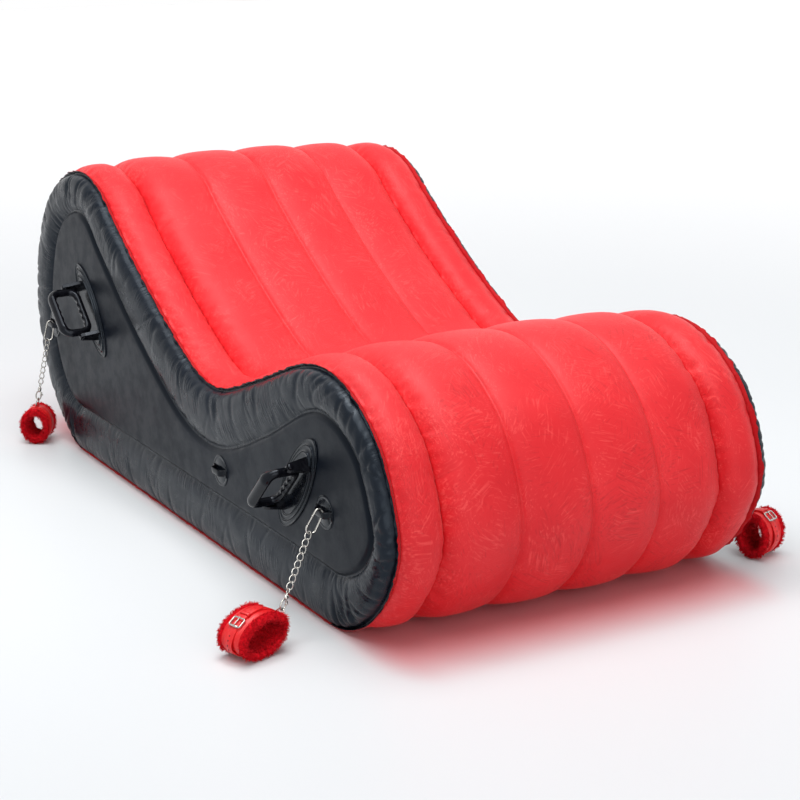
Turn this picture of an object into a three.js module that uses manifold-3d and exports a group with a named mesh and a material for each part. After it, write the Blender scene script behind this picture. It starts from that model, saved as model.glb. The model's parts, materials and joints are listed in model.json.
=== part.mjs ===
import * as THREE from 'three';
import { mergeVertices } from 'three/addons/utils/BufferGeometryUtils.js';
import Module from 'manifold-3d';

const wasm = await Module();
wasm.setup();

// Body: X runs along the length with the foot end at +X, Y across, Z up from the floor.
const LENGTH = 1720;
const HEIGHT = 656;
const HALF_WIDTH = 390;
const WALL = 0.8;
const CLEARANCE = 0.3;
const FLOOR_FADE_SHARE = 0.0915;

// Side outline seen from the side: share of the length behind the foot end, share of the height,
// and share of the widest rim for the black cushion inside it.
const RIM_OF_LENGTH_SHARE = 0.0645;
const RIM_OF_HEIGHT_SHARE = 0.1692;
const OUTLINE_SHARES = [
  [0, 0.33, 0.5], [0.03, 0.543, 0.48], [0.065, 0.634, 0.5], [0.108, 0.694, 0.58],
  [0.152, 0.713, 0.64], [0.2, 0.694, 0.74], [0.302, 0.59, 0.92], [0.4, 0.5, 1],
  [0.442, 0.494, 1], [0.485, 0.521, 1], [0.605, 0.683, 0.92], [0.72, 0.877, 0.8],
  [0.762, 0.957, 0.74], [0.808, 1, 0.72], [0.855, 0.994, 0.74], [0.904, 0.948, 0.8],
  [0.951, 0.848, 0.88], [0.985, 0.686, 0.94], [1, 0.495, 0.95], [0.988, 0.328, 0.95],
  [0.96, 0.18, 0.95], [0.916, 0.064, 0.96], [0.866, 0.004, 1], [0.81, 0, 1], [0.5, 0, 1],
  [0.18, 0, 1], [0.1, 0.012, 0.95], [0.052, 0.088, 0.75], [0.017, 0.195, 0.58],
];
const DENSE_STEPS = 1500;
const STATIONS = 31;
const BEND_WEIGHT_SHARE = 0.128;

// Red cover: seams across the width, height of the cushion crowns between them.
const BAND_SEAM = 301;
const BAND_SEAM_INSET = 10;
const MID_SEAM = 150;
const BAND_CROWN = 18;
const OUTER_CROWN = 25;
const MIDDLE_CROWN = 28;
const CROWN_STEPS = 3;

// Black side panel: cushion rim, weld groove, flat middle and the hem lip.
const RIM_BULGE = 32;
const GROOVE_SHARE = 0.56;
const PANEL_RISE = 26;
const PANEL_EDGE = 14;
const LIP = 8;
const LIP_THICKNESS = 1.2;
const RIM_SECTION_SHARES = [[0.07, 0.5], [0.28, 0.9], [0.55, 1], [0.84, 0.84], [1, GROOVE_SHARE]];

// Webs that hold the seams down inside.
const WEB_THICKNESS = 0.6;
const VENT_RADIUS = 32;
const VENT_SIDES = 6;
const VENT_SHARES = [[0.14, 0.3], [0.45, 0.22], [0.78, 0.4]];

// Inflation valve on the red cover, low at the head end.
const VALVE_HEIGHT = 150;
const VALVE_FLANGE_RADIUS = 17;
const VALVE_FLANGE = 2;
const VALVE_STEM_RADIUS = 11;
const VALVE_BORE_RADIUS = 7;
const VALVE_DEPTH = 16;
const CAP_HEAD_RADIUS = 12;
const CAP_HEAD = 4;
const CAP_PLUG = 10;
const ROUND_SIDES = 20;

// Moulded grab handles on the side panels.
const HANDLES = [
  { end: 'front', alongShare: 0.1919, upShare: 0.3689, slopeDeg: 45 },
  { end: 'rear', alongShare: 0.7849, upShare: 0.5518, slopeDeg: -41 },
];
const PATCH_LONG = 118;
const PATCH_SHORT = 54;
const PATCH_STEP = 3;
const PATCH_STEP_SHARES = [1, 0.86, 0.72];
const PATCH_SIDES = 16;
const GRIP_HALF_LENGTH = 56;
const GRIP_BAR = 8.5;
const GRIP_LOW = 21;
const GRIP_HIGH = 79;
const GRIP_CORNER = 19;
const GRIP_BAR_STEPS = 8;
const GRIP_CORNER_STEPS = 2;
const GRIP_SIDES = 6;
const FINGER_COUNT = 4;
const FINGER_DEPTH_SHARE = 0.26;
const PIVOT_HEIGHT = 41;
const PIN_RADIUS = 3;
const PIN_REACH = 7;
const PIN_CLEARANCE = 0.35;
const PIN_SIDES = 8;
const LUG_THICKNESS = 9;
const LUG_HALF_FOOT = 15;
const LUG_HALF_TOP = 8;
const LUG_TOP = 49;
const LUG_GAP = 0.6;

// Tether tabs: round patch with a raised band.
const TABS = [
  { end: 'front', alongShare: 0.1308, upShare: 0.3308 },
  { end: 'middle', alongShare: 0.3884, upShare: 0.2622 },
  { end: 'rear', alongShare: 0.9244, upShare: 0.4284 },
];
const TAB_RADIUS = 32;
const TAB_PATCH = 1.5;
const BAND_HALF_FOOT = 30;
const BAND_HALF_SPAN = 17;
const BAND_HALF_HEIGHT = 6;
const BAND_THICKNESS = 2.4;
const BAND_STAND = 11.2;
const TAB_SIDES = 14;

// Wire carabiner on the band, chain, swivel snap hook and ring.
const CARABINER_WIRE = 2;
const CARABINER_TOP = 8.6;
const CARABINER_BOTTOM = 10;
const CARABINER_SPAN = 29.4;
const CARABINER_SIDES = 6;
const CARABINER_ARC_STEPS = 8;
const GATE_THICKNESS_SHARE = 0.85;
const GATE_START_SHARE = 0.32;
const GATE_END_SHARE = 0.92;
const LINK_COUNT = 8;
const LINK_WIRE = 1.2;
const LINK_HALF_LENGTH = 7.8;
const LINK_HALF_WIDTH = 5.3;
const LINK_PITCH = 13.6;
const LINK_PLAY = 0.7;
const LINK_STEPS = 8;
const LINK_SIDES = 4;
const EYE_WIRE = 1.2;
const EYE_RADIUS = 4.2;
const EYE_STEPS = 8;
const STUD_RADIUS = 1.6;
const STUD_LENGTH = 7;
const STUD_HEAD_RADIUS = 2.5;
const STUD_HEAD = 1.6;
const BARREL_RADIUS = 4.4;
const BARREL_LENGTH = 10;
const BARREL_WALL = 1.2;
const BARREL_SIDES = 8;
const HOOK_WIRE = 1.8;
const HOOK_HALF_LENGTH = 10.4;
const HOOK_HALF_WIDTH = 6;
const HOOK_STEPS = 12;
const RING_WIRE = 1.5;
const RING_HALF_WIDTH = 10;
const RING_HEIGHT = 16;
const RING_STEPS = 6;

// Cuffs: leather band with a strap, roller buckle and fur lining.
const CUFF_HALF_WIDTH = 22;
const CUFF_LEATHER = 3;
const STRAP_HALF_WIDTH = 9;
const STRAP_THICKNESS = 2.2;
const CUFF_STEPS = 16;
const FUR_THICKNESS = 8;
const FUR_OVERHANG = 9;
const FUR_CURL = 4;
const KEEPER_HALF_LENGTH = 6;
const KEEPER_RADIUS = 3.6;
const KEEPER_SIDES = 6;
const BUCKLE_HALF_WIDTH = 13;
const BUCKLE_HALF_LENGTH = 9;
const BUCKLE_WIRE = 1.6;
const PRONG_SHARE = 0.7;

// How each corner's tether lies: swing of the carabiner away from the panel, lean of the chain
// towards the foot end, the cuff's bore direction, the direction from cuff centre to its ring, the
// cuff's half sizes along and across that direction and the strap flat its buckle lies on.
const CORNERS = [
  {
    name: 'right_front', tab: 0, side: -1, swingDeg: 31, leanDeg: 12.5,
    bore: [0.956, 0.292, 0], toRing: [-0.289, 0.945, 0.155], along: 58, across: 40,
    buckleStep: 5,
  },
  {
    name: 'right_rear', tab: 2, side: -1, swingDeg: 13, leanDeg: 0,
    bore: [0.809, -0.588, 0], toRing: [0, 0, 1], along: 42, across: 35,
    buckleStep: 5,
  },
  {
    name: 'left_front', tab: 0, side: 1, swingDeg: 22, leanDeg: 25,
    bore: [-0.3, 0.954, 0], toRing: [-0.954, -0.3, 0], along: 38, across: 46,
    buckleStep: 5,
  },
  {
    name: 'left_rear', tab: 2, side: 1, swingDeg: 13, leanDeg: 0,
    bore: [0.809, 0.588, 0], toRing: [0, 0, 1], along: 42, across: 35,
    buckleStep: -6,
  },
];

const group = new THREE.Group();
const RED_FLOCK = { color: 0xd8202e, roughness: 0.95, metalness: 0 };
const BLACK_VINYL = { color: 0x1b1e22, roughness: 0.45, metalness: 0 };
const BLACK_PLASTIC = { color: 0x0c0c0e, roughness: 0.25, metalness: 0 };
const STEEL = { color: 0xc9c9cc, roughness: 0.2, metalness: 1 };
const RED_LEATHER = { color: 0xc0141e, roughness: 0.4, metalness: 0 };
const RED_FUR = { color: 0xb00c1a, roughness: 1, metalness: 0 };
const INNER_VINYL = { color: 0x30343a, roughness: 0.6, metalness: 0 };

function vec(x, y, z) {
  return new THREE.Vector3(x, y, z);
}

function radians(degrees) {
  return THREE.MathUtils.degToRad(degrees);
}

function smooth(value) {
  return THREE.MathUtils.smoothstep(value, 0, 1);
}

function add(name, geometry, look) {
  const mesh = new THREE.Mesh(geometry, new THREE.MeshStandardMaterial(look));
  mesh.name = name;
  group.add(mesh);
  return mesh;
}

// Triangles that fill one closed ring of points, wound like the ring.
function fillRing(ring) {
  const normal = vec(0, 0, 0);
  ring.forEach((point, i) => {
    const next = ring[(i + 1) % ring.length];
    normal.add(vec(0, 0, 0).crossVectors(point, next));
  });
  normal.normalize();
  const helper = Math.abs(normal.z) < 0.9 ? vec(0, 0, 1) : vec(1, 0, 0);
  const right = vec(0, 0, 0).crossVectors(helper, normal).normalize();
  const up = vec(0, 0, 0).crossVectors(normal, right);
  const flat = ring.map((point) => new THREE.Vector2(point.dot(right), point.dot(up)));
  return THREE.ShapeUtils.triangulateShape(flat, []).map(([a, b, c]) => {
    const left = flat[b].clone().sub(flat[a]);
    const turn = left.cross(flat[c].clone().sub(flat[a]));
    return turn > 0 ? [a, b, c] : [a, c, b];
  });
}

// Skin over a row of rings with equal point counts; a looped row closes on itself. The quads that
// swaps picks are split along their other diagonal.
function loft(rings, looped = false, swaps = () => false) {
  const size = rings[0].length;
  const points = rings.flat();
  const faces = [];
  const spans = looped ? rings.length : rings.length - 1;
  for (let i = 0; i < spans; i += 1) {
    const here = i * size;
    const there = ((i + 1) % rings.length) * size;
    for (let j = 0; j < size; j += 1) {
      const next = (j + 1) % size;
      if (swaps(i, j)) {
        faces.push([here + j, here + next, there + j]);
        faces.push([here + next, there + next, there + j]);
      } else {
        faces.push([here + j, here + next, there + next]);
        faces.push([here + j, there + next, there + j]);
      }
    }
  }
  if (!looped) {
    const last = (rings.length - 1) * size;
    fillRing(rings[0]).forEach(([a, b, c]) => faces.push([a, c, b]));
    fillRing(rings[rings.length - 1]).forEach(([a, b, c]) => {
      faces.push([last + a, last + b, last + c]);
    });
  }
  let volume = 0;
  faces.forEach(([a, b, c]) => {
    volume += points[a].dot(vec(0, 0, 0).crossVectors(points[b], points[c]));
  });
  const ordered = volume < 0 ? faces.map(([a, b, c]) => [a, c, b]) : faces;
  const geometry = new THREE.BufferGeometry().setFromPoints(points);
  geometry.setIndex(ordered.flat());
  return geometry;
}

function plain(geometry) {
  const copy = geometry.clone();
  copy.deleteAttribute('normal');
  copy.deleteAttribute('uv');
  return mergeVertices(copy);
}

function toSolid(geometry) {
  return new wasm.Manifold(new wasm.Mesh({
    numProp: 3,
    vertProperties: new Float32Array(geometry.attributes.position.array),
    triVerts: new Uint32Array(geometry.index.array),
  }));
}

function fromSolid(solid) {
  const mesh = solid.getMesh();
  const geometry = new THREE.BufferGeometry();
  geometry.setAttribute('position', new THREE.BufferAttribute(mesh.vertProperties, 3));
  geometry.setIndex(new THREE.BufferAttribute(mesh.triVerts, 1));
  return geometry;
}

function join(geometries) {
  return fromSolid(geometries.map(toSolid).reduce((all, next) => all.add(next)));
}

function cut(geometry, tools) {
  return fromSolid(tools.map(toSolid).reduce((rest, next) => rest.subtract(next), toSolid(geometry)));
}

function circleRing(centre, right, up, radius, sides) {
  return Array.from({ length: sides }, (_, i) => {
    const angle = (i / sides) * 2 * Math.PI;
    return centre.clone()
      .addScaledVector(right, radius * Math.cos(angle))
      .addScaledVector(up, radius * Math.sin(angle));
  });
}

// Two directions square to an axis.
function sideways(axis) {
  const helper = Math.abs(axis.x) < 0.9 ? vec(1, 0, 0) : vec(0, 1, 0);
  const right = vec(0, 0, 0).crossVectors(helper, axis).normalize();
  return [right, vec(0, 0, 0).crossVectors(axis, right).normalize()];
}

// Body turned round an axis: list of [distance along, radius]; a closed list makes a hollow one.
function turned(base, axis, steps, sides, hollow = false) {
  const [right, up] = sideways(axis);
  const rings = steps.map(([along, radius]) => (
    circleRing(base.clone().addScaledVector(axis, along), right, up, radius, sides)
  ));
  return loft(rings, hollow);
}

// Round wire along a flat path; square is the direction square to the path's plane.
function wire(path, square, radius, sides, looped) {
  const rings = path.map((point, i) => {
    const before = path[looped ? (i + path.length - 1) % path.length : Math.max(i - 1, 0)];
    const after = path[looped ? (i + 1) % path.length : Math.min(i + 1, path.length - 1)];
    const along = after.clone().sub(before).normalize();
    const across = vec(0, 0, 0).crossVectors(along, square).normalize();
    const lift = vec(0, 0, 0).crossVectors(across, along).normalize();
    return circleRing(point, across, lift, radius, sides);
  });
  return loft(rings, looped);
}

// Stations round the outline from the foot end's floor line, over the top, to the head end's.
function makeStations() {
  const widestRim = Math.min(RIM_OF_LENGTH_SHARE * LENGTH, RIM_OF_HEIGHT_SHARE * HEIGHT);
  const curve = new THREE.CatmullRomCurve3(OUTLINE_SHARES.map(([along, up, rim]) => (
    vec(LENGTH / 2 - along * LENGTH, rim * widestRim, up * HEIGHT)
  )), true);
  const dense = curve.getPoints(DENSE_STEPS).slice(0, DENSE_STEPS);
  const grounded = dense.map((point) => point.z <= CLEARANCE && Math.abs(point.x) < LENGTH / 2);
  const first = grounded.indexOf(true);
  const last = grounded.lastIndexOf(true);
  const open = [...dense.slice(last), ...dense.slice(0, first + 1)];
  open[0].z = 0;
  open[open.length - 1].z = 0;
  const points = open.map((point) => vec(point.x, point.y, Math.max(point.z, 0)));
  const weights = [0];
  for (let i = 1; i < points.length; i += 1) {
    const step = vec(points[i].x - points[i - 1].x, 0, points[i].z - points[i - 1].z);
    const ahead = points[Math.min(i + 1, points.length - 1)];
    const next = vec(ahead.x - points[i].x, 0, ahead.z - points[i].z);
    const bend = next.length() > 0 && step.length() > 0 ? step.angleTo(next) : 0;
    weights.push(weights[i - 1] + step.length() + BEND_WEIGHT_SHARE * LENGTH * bend);
  }
  const total = weights[weights.length - 1];
  const stations = [];
  let k = 0;
  for (let i = 0; i <= STATIONS; i += 1) {
    while (k < weights.length - 1 && weights[k] < (total * i) / STATIONS) {
      k += 1;
    }
    const before = points[Math.max(k - 1, 0)];
    const after = points[Math.min(k + 1, points.length - 1)];
    const onFloor = i === 0 || i === STATIONS;
    const along = vec(after.x - before.x, 0, after.z - before.z).normalize();
    stations.push({
      x: points[k].x,
      z: onFloor ? 0 : points[k].z,
      rim: points[k].y,
      out: onFloor ? vec(0, 0, -1) : vec(along.z, 0, -along.x),
      fade: onFloor ? 0 : smooth(points[k].z / (FLOOR_FADE_SHARE * HEIGHT)),
    });
  }
  return stations;
}

const stations = makeStations();

// Point at a station, moved outward from the outline, at a place across the width.
function at(station, outward, y) {
  return vec(station.x, y, station.z).addScaledVector(station.out, outward);
}

function channel(from, to, crown) {
  return Array.from({ length: CROWN_STEPS + 1 }, (_, i) => {
    const share = i / CROWN_STEPS;
    const base = THREE.MathUtils.lerp(from[1], to[1], share);
    return [
      THREE.MathUtils.lerp(from[0], to[0], share),
      4 * share * (1 - share) * crown - base,
    ];
  });
}

// Cushion skin along the stations with the section [y, outward] given across the width.
function coverStrip(section) {
  return loft(stations.map((station) => [
    ...section.map(([y, rise]) => at(station, rise * station.fade, y)),
    ...section.map(([y, rise]) => at(station, rise * station.fade - WALL, y)).reverse(),
  ]), false, (i, j) => j >= section.length);
}

function coverSection() {
  const edge = BAND_SEAM - CLEARANCE / 2;
  const seams = [[-edge, BAND_SEAM_INSET], [-MID_SEAM, 0], [0, 0], [MID_SEAM, 0], [edge, BAND_SEAM_INSET]];
  const crowns = [OUTER_CROWN, MIDDLE_CROWN, MIDDLE_CROWN, OUTER_CROWN];
  return crowns.flatMap((crown, i) => {
    const points = channel(seams[i], seams[i + 1], crown);
    return i === 0 ? points : points.slice(1);
  });
}

// Facet of the cover that carries the valve, in the middle of the first channel past the centre.
function valvePlace() {
  const section = coverSection();
  const near = section.filter(([y]) => y > 0 && y < MID_SEAM);
  const rearHalf = stations.slice(Math.floor(STATIONS / 2));
  const k = rearHalf.findIndex((station, i) => i > 0 && station.z < VALVE_HEIGHT);
  const corners = [rearHalf[k - 1], rearHalf[k]].flatMap((station) => (
    near.map(([y, rise]) => at(station, rise * station.fade, y))
  ));
  const centre = corners.reduce((sum, point) => sum.add(point), vec(0, 0, 0)).divideScalar(corners.length);
  const up = corners[0].clone().sub(corners[2]).normalize();
  return { centre, out: vec(0, 0, 0).crossVectors(up, vec(0, 1, 0)).normalize() };
}

const valve = valvePlace();
if (valve.out.x > 0) {
  valve.out.negate();
}
const stemHole = turned(valve.centre, valve.out, [
  [-VALVE_DEPTH, VALVE_STEM_RADIUS + CLEARANCE], [VALVE_DEPTH, VALVE_STEM_RADIUS + CLEARANCE],
], ROUND_SIDES);
add('top_cover', cut(coverStrip(coverSection()), [stemHole]), RED_FLOCK);
for (const side of [-1, 1]) {
  const hand = side < 0 ? 'right' : 'left';
  const section = channel(
    [side * (BAND_SEAM + CLEARANCE / 2), BAND_SEAM_INSET],
    [side * (HALF_WIDTH - CLEARANCE), 0],
    BAND_CROWN,
  );
  add(`${hand}_edge_band`, coverStrip(section), RED_FLOCK);
}

// Side panel: rings that follow the outline, from the middle of the outer face over groove, rim
// and lip to the middle of the inner face.
function sidePanel(side) {
  const place = (station, inward, outward) => at(station, -inward, side * (HALF_WIDTH + outward));
  const outer = [
    (s) => place(s, s.rim + PANEL_EDGE, PANEL_RISE),
    ...RIM_SECTION_SHARES.map(([inward, rise]) => (
      (s) => place(s, inward * s.rim, rise * RIM_BULGE)
    )).reverse(),
  ];
  const lean = (s) => (1 - s.fade) * Math.PI * 0.5;
  const lip = [
    (s) => place(s, LIP_THICKNESS * Math.sin(lean(s)), LIP_THICKNESS * Math.cos(lean(s))),
    (s) => place(
      s,
      LIP_THICKNESS * Math.sin(lean(s)) - LIP * Math.cos(lean(s)),
      LIP_THICKNESS * Math.cos(lean(s)) + LIP * Math.sin(lean(s)),
    ),
    (s) => place(s, -LIP * Math.cos(lean(s)), LIP * Math.sin(lean(s))),
    (s) => place(s, 0, 0),
    (s) => place(s, LIP_THICKNESS + WALL, 0),
  ];
  const inner = [
    ...RIM_SECTION_SHARES.map(([inward, rise], i) => (
      (s) => place(s, inward * s.rim + (i === 0 ? WALL : 0), rise * RIM_BULGE - WALL)
    )),
    (s) => place(s, s.rim + PANEL_EDGE, PANEL_RISE - WALL),
  ];
  return loft(
    [...outer, ...lip, ...inner].map((ring) => stations.map(ring)),
    false,
    (i) => i >= outer.length + lip.length,
  );
}

add('right_side_panel', sidePanel(-1), BLACK_VINYL);
add('left_side_panel', sidePanel(1), BLACK_VINYL);

// Flat base sheet between the floor lines.
const footLine = stations[0].x - CLEARANCE;
const headLine = stations[STATIONS].x + CLEARANCE;
const baseHalf = HALF_WIDTH - CLEARANCE;
const sheetCorners = [
  [headLine, -baseHalf], [footLine, -baseHalf], [footLine, baseHalf], [headLine, baseHalf],
];
add('base_panel', loft([0, WALL].map((z) => sheetCorners.map(([x, y]) => vec(x, y, z)))), INNER_VINYL);

// Webs inside, under every seam.
function web(y, inset) {
  const outline = stations.map((station) => (
    at(station, -inset * station.fade - WALL - CLEARANCE, y)
  ));
  const shape = new THREE.Shape(outline.map((point) => new THREE.Vector2(point.x, point.z)));
  VENT_SHARES.forEach(([along, up]) => {
    const hole = new THREE.Path(circleRing(
      vec(LENGTH / 2 - along * LENGTH, up * HEIGHT, 0),
      vec(1, 0, 0),
      vec(0, 1, 0),
      VENT_RADIUS,
      VENT_SIDES,
    ).map((point) => new THREE.Vector2(point.x, point.y)));
    shape.holes.push(hole);
  });
  const sheet = plain(new THREE.ExtrudeGeometry(shape, { depth: WEB_THICKNESS, bevelEnabled: false }));
  sheet.rotateX(Math.PI * 0.5);
  sheet.translate(0, y + WEB_THICKNESS / 2, 0);
  return sheet;
}

add('web_right_edge', web(-BAND_SEAM, BAND_SEAM_INSET), INNER_VINYL);
add('web_right', web(-MID_SEAM, 0), INNER_VINYL);
add('web_centre', web(0, 0), INNER_VINYL);
add('web_left', web(MID_SEAM, 0), INNER_VINYL);
add('web_left_edge', web(BAND_SEAM, BAND_SEAM_INSET), INNER_VINYL);

// Valve: flanged sleeve through the cover and a plug cap.
add('valve_body', turned(valve.centre, valve.out, [
  [CLEARANCE, VALVE_FLANGE_RADIUS], [CLEARANCE + VALVE_FLANGE, VALVE_FLANGE_RADIUS - CLEARANCE],
  [CLEARANCE + VALVE_FLANGE, VALVE_BORE_RADIUS], [-VALVE_DEPTH, VALVE_BORE_RADIUS],
  [-VALVE_DEPTH, VALVE_STEM_RADIUS], [CLEARANCE, VALVE_STEM_RADIUS],
], ROUND_SIDES, true), BLACK_PLASTIC);
add('valve_cap', turned(valve.centre, valve.out, [
  [-CAP_PLUG, VALVE_BORE_RADIUS - CLEARANCE], [VALVE_FLANGE + 2 * CLEARANCE, VALVE_BORE_RADIUS - CLEARANCE],
  [VALVE_FLANGE + 2 * CLEARANCE, CAP_HEAD_RADIUS], [VALVE_FLANGE + CAP_HEAD, CAP_HEAD_RADIUS],
], ROUND_SIDES), BLACK_PLASTIC);

// Puts a body drawn in its own frame at a place; along and out are its first and third axes.
function placed(geometry, origin, along, out) {
  const across = vec(0, 0, 0).crossVectors(out, along).normalize();
  const matrix = new THREE.Matrix4().makeBasis(along, across, out).setPosition(origin);
  return geometry.clone().applyMatrix4(matrix);
}

function ovalRing(long, short, height, sides) {
  return Array.from({ length: sides }, (_, i) => {
    const angle = (i / sides) * 2 * Math.PI;
    return vec(long * Math.cos(angle), short * Math.sin(angle), height);
  });
}

// Stepped oval patch with a lug and pivot pin at each end of the grip.
function handlePatch() {
  const rings = PATCH_STEP_SHARES.flatMap((share, i) => [
    ovalRing(PATCH_LONG * share, PATCH_SHORT * share, i * PATCH_STEP + (i > 0 ? 0 : CLEARANCE), PATCH_SIDES),
    ovalRing(PATCH_LONG * share, PATCH_SHORT * share, (i + 1) * PATCH_STEP, PATCH_SIDES),
  ]);
  const top = PATCH_STEP * PATCH_STEP_SHARES.length;
  const inside = GRIP_HALF_LENGTH + GRIP_BAR + LUG_GAP;
  const lugs = [-1, 1].flatMap((end) => {
    const face = [
      [-LUG_HALF_FOOT, top - PATCH_STEP], [LUG_HALF_FOOT, top - PATCH_STEP],
      [LUG_HALF_TOP, LUG_TOP - LUG_HALF_TOP / 2], [LUG_HALF_TOP / 2, LUG_TOP],
      [-LUG_HALF_TOP / 2, LUG_TOP], [-LUG_HALF_TOP, LUG_TOP - LUG_HALF_TOP / 2],
    ];
    const lug = loft([inside, inside + LUG_THICKNESS].map((along) => (
      face.map(([across, up]) => vec(end * along, across, up))
    )));
    const pin = turned(vec(0, 0, PIVOT_HEIGHT), vec(end, 0, 0), [
      [inside - LUG_GAP - PIN_REACH, PIN_RADIUS], [inside + LUG_THICKNESS / 2, PIN_RADIUS],
    ], PIN_SIDES);
    return [lug, pin];
  });
  return join([loft(rings), ...lugs]);
}

// Grip ring: smooth outer bar, finger grooves on the inner edges of both long bars.
function grip() {
  const middle = (GRIP_LOW + GRIP_HIGH) / 2;
  const halfHeight = (GRIP_HIGH - GRIP_LOW) / 2;
  const straight = GRIP_HALF_LENGTH - GRIP_CORNER;
  const path = [];
  const corner = (x, z, startDeg) => {
    for (let i = 0; i <= GRIP_CORNER_STEPS; i += 1) {
      const angle = radians(startDeg) + (i / GRIP_CORNER_STEPS) * Math.PI * 0.5;
      path.push(vec(x + GRIP_CORNER * Math.cos(angle), 0, z + GRIP_CORNER * Math.sin(angle)));
    }
  };
  const bar = (z, direction) => {
    for (let i = 1; i < GRIP_BAR_STEPS; i += 1) {
      path.push(vec(direction * straight * (1 - (2 * i) / GRIP_BAR_STEPS), 0, z));
    }
  };
  corner(straight, middle + halfHeight - GRIP_CORNER, 0);
  bar(GRIP_HIGH, 1);
  corner(-straight, middle + halfHeight - GRIP_CORNER, 90);
  corner(-straight, middle - halfHeight + GRIP_CORNER, 180);
  bar(GRIP_LOW, -1);
  corner(straight, middle - halfHeight + GRIP_CORNER, 270);
  const rings = path.map((point, i) => {
    const before = path[(i + path.length - 1) % path.length];
    const after = path[(i + 1) % path.length];
    const along = after.clone().sub(before).normalize();
    const outward = vec(0, 0, 0).crossVectors(along, vec(0, 1, 0)).negate();
    if (outward.dot(vec(point.x, 0, point.z - middle)) < 0) {
      outward.negate();
    }
    const share = Math.abs(point.x) < straight
      ? 0.5 + 0.5 * Math.cos((FINGER_COUNT * Math.PI * (point.x + straight)) / straight)
      : 0.5;
    return Array.from({ length: GRIP_SIDES }, (_, j) => {
      const angle = ((j + 0.5) / GRIP_SIDES) * 2 * Math.PI;
      const inward = Math.cos(angle) < 0 ? 1 - FINGER_DEPTH_SHARE * (1 - share) : 1;
      return point.clone()
        .addScaledVector(outward, GRIP_BAR * Math.cos(angle) * inward)
        .addScaledVector(vec(0, 1, 0), GRIP_BAR * Math.sin(angle));
    });
  });
  const bores = [-1, 1].map((end) => turned(vec(0, 0, PIVOT_HEIGHT), vec(end, 0, 0), [
    [GRIP_HALF_LENGTH + GRIP_BAR - PIN_REACH - PIN_CLEARANCE, PIN_RADIUS + PIN_CLEARANCE],
    [GRIP_HALF_LENGTH + 2 * GRIP_BAR, PIN_RADIUS + PIN_CLEARANCE],
  ], PIN_SIDES));
  return cut(loft(rings, true), bores);
}

const patchBody = handlePatch();
const gripBody = grip();
const panelFace = HALF_WIDTH + PANEL_RISE;

// Point on the flat middle of a side panel.
function onPanel(side, alongShare, upShare) {
  return vec(LENGTH / 2 - alongShare * LENGTH, side * panelFace, upShare * HEIGHT);
}

for (const side of [-1, 1]) {
  const hand = side < 0 ? 'right' : 'left';
  HANDLES.forEach(({ end, alongShare, upShare, slopeDeg }) => {
    const slope = radians(slopeDeg);
    const along = vec(Math.cos(slope), 0, Math.sin(slope));
    const origin = onPanel(side, alongShare, upShare);
    add(`${hand}_${end}_handle_patch`, placed(patchBody, origin, along, vec(0, side, 0)), BLACK_VINYL);
    add(`${hand}_${end}_grip`, placed(gripBody, origin, along, vec(0, side, 0)), BLACK_PLASTIC);
  });
}

// Tether tab: round patch and raised band, drawn lying flat.
function tab() {
  const disc = turned(vec(0, 0, 0), vec(0, 0, 1), [
    [CLEARANCE, TAB_RADIUS], [TAB_PATCH, TAB_RADIUS],
  ], TAB_SIDES);
  const low = TAB_PATCH / 2;
  const high = TAB_PATCH + BAND_STAND;
  const half = BAND_THICKNESS / 2;
  const bend = BAND_THICKNESS;
  const profile = [
    [-BAND_HALF_FOOT, low], [-BAND_HALF_FOOT, low + 2 * half], [-BAND_HALF_SPAN - bend, TAB_PATCH + bend],
    [-BAND_HALF_SPAN, high + half], [BAND_HALF_SPAN, high + half], [BAND_HALF_SPAN + bend, TAB_PATCH + bend],
    [BAND_HALF_FOOT, low + 2 * half], [BAND_HALF_FOOT, low], [BAND_HALF_SPAN, low],
    [BAND_HALF_SPAN - bend / 2, high - half], [bend / 2 - BAND_HALF_SPAN, high - half],
    [-BAND_HALF_SPAN, low],
  ];
  const band = loft([-BAND_HALF_HEIGHT, BAND_HALF_HEIGHT].map((across) => (
    profile.map(([along, up]) => vec(along, across, up))
  )));
  return join([disc, band]);
}

const tabBody = tab();
for (const side of [-1, 1]) {
  const hand = side < 0 ? 'right' : 'left';
  TABS.forEach(({ end, alongShare, upShare }) => {
    const origin = onPanel(side, alongShare, upShare);
    add(`${hand}_${end}_tab`, placed(tabBody, origin, vec(1, 0, 0), vec(0, side, 0)), BLACK_PLASTIC);
  });
}

// Arc of points round a centre from one angle to another; right and down span its plane.
function arc(centre, right, down, radius, fromDeg, toDeg, steps) {
  return Array.from({ length: steps + 1 }, (_, i) => {
    const angle = radians(fromDeg + ((toDeg - fromDeg) * i) / steps);
    return centre.clone()
      .addScaledVector(right, radius * Math.cos(angle))
      .addScaledVector(down, radius * Math.sin(angle));
  });
}

// One twisted chain link; the wire ends cross at a right angle from top to bottom.
function link(centre, down, across, square) {
  const path = Array.from({ length: LINK_STEPS }, (_, i) => {
    const angle = (i / LINK_STEPS) * 2 * Math.PI;
    const along = LINK_HALF_LENGTH * Math.sin(angle);
    const wide = LINK_HALF_WIDTH * Math.cos(angle);
    const twist = (1 + along / LINK_HALF_LENGTH) * Math.PI * 0.25;
    return centre.clone()
      .addScaledVector(down, along)
      .addScaledVector(across, wide * Math.cos(twist))
      .addScaledVector(square, wide * Math.sin(twist));
  });
  return wire(path, vec(0, 0, 0).addVectors(across, square).normalize().cross(down), LINK_WIRE,
    LINK_SIDES, true);
}

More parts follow.
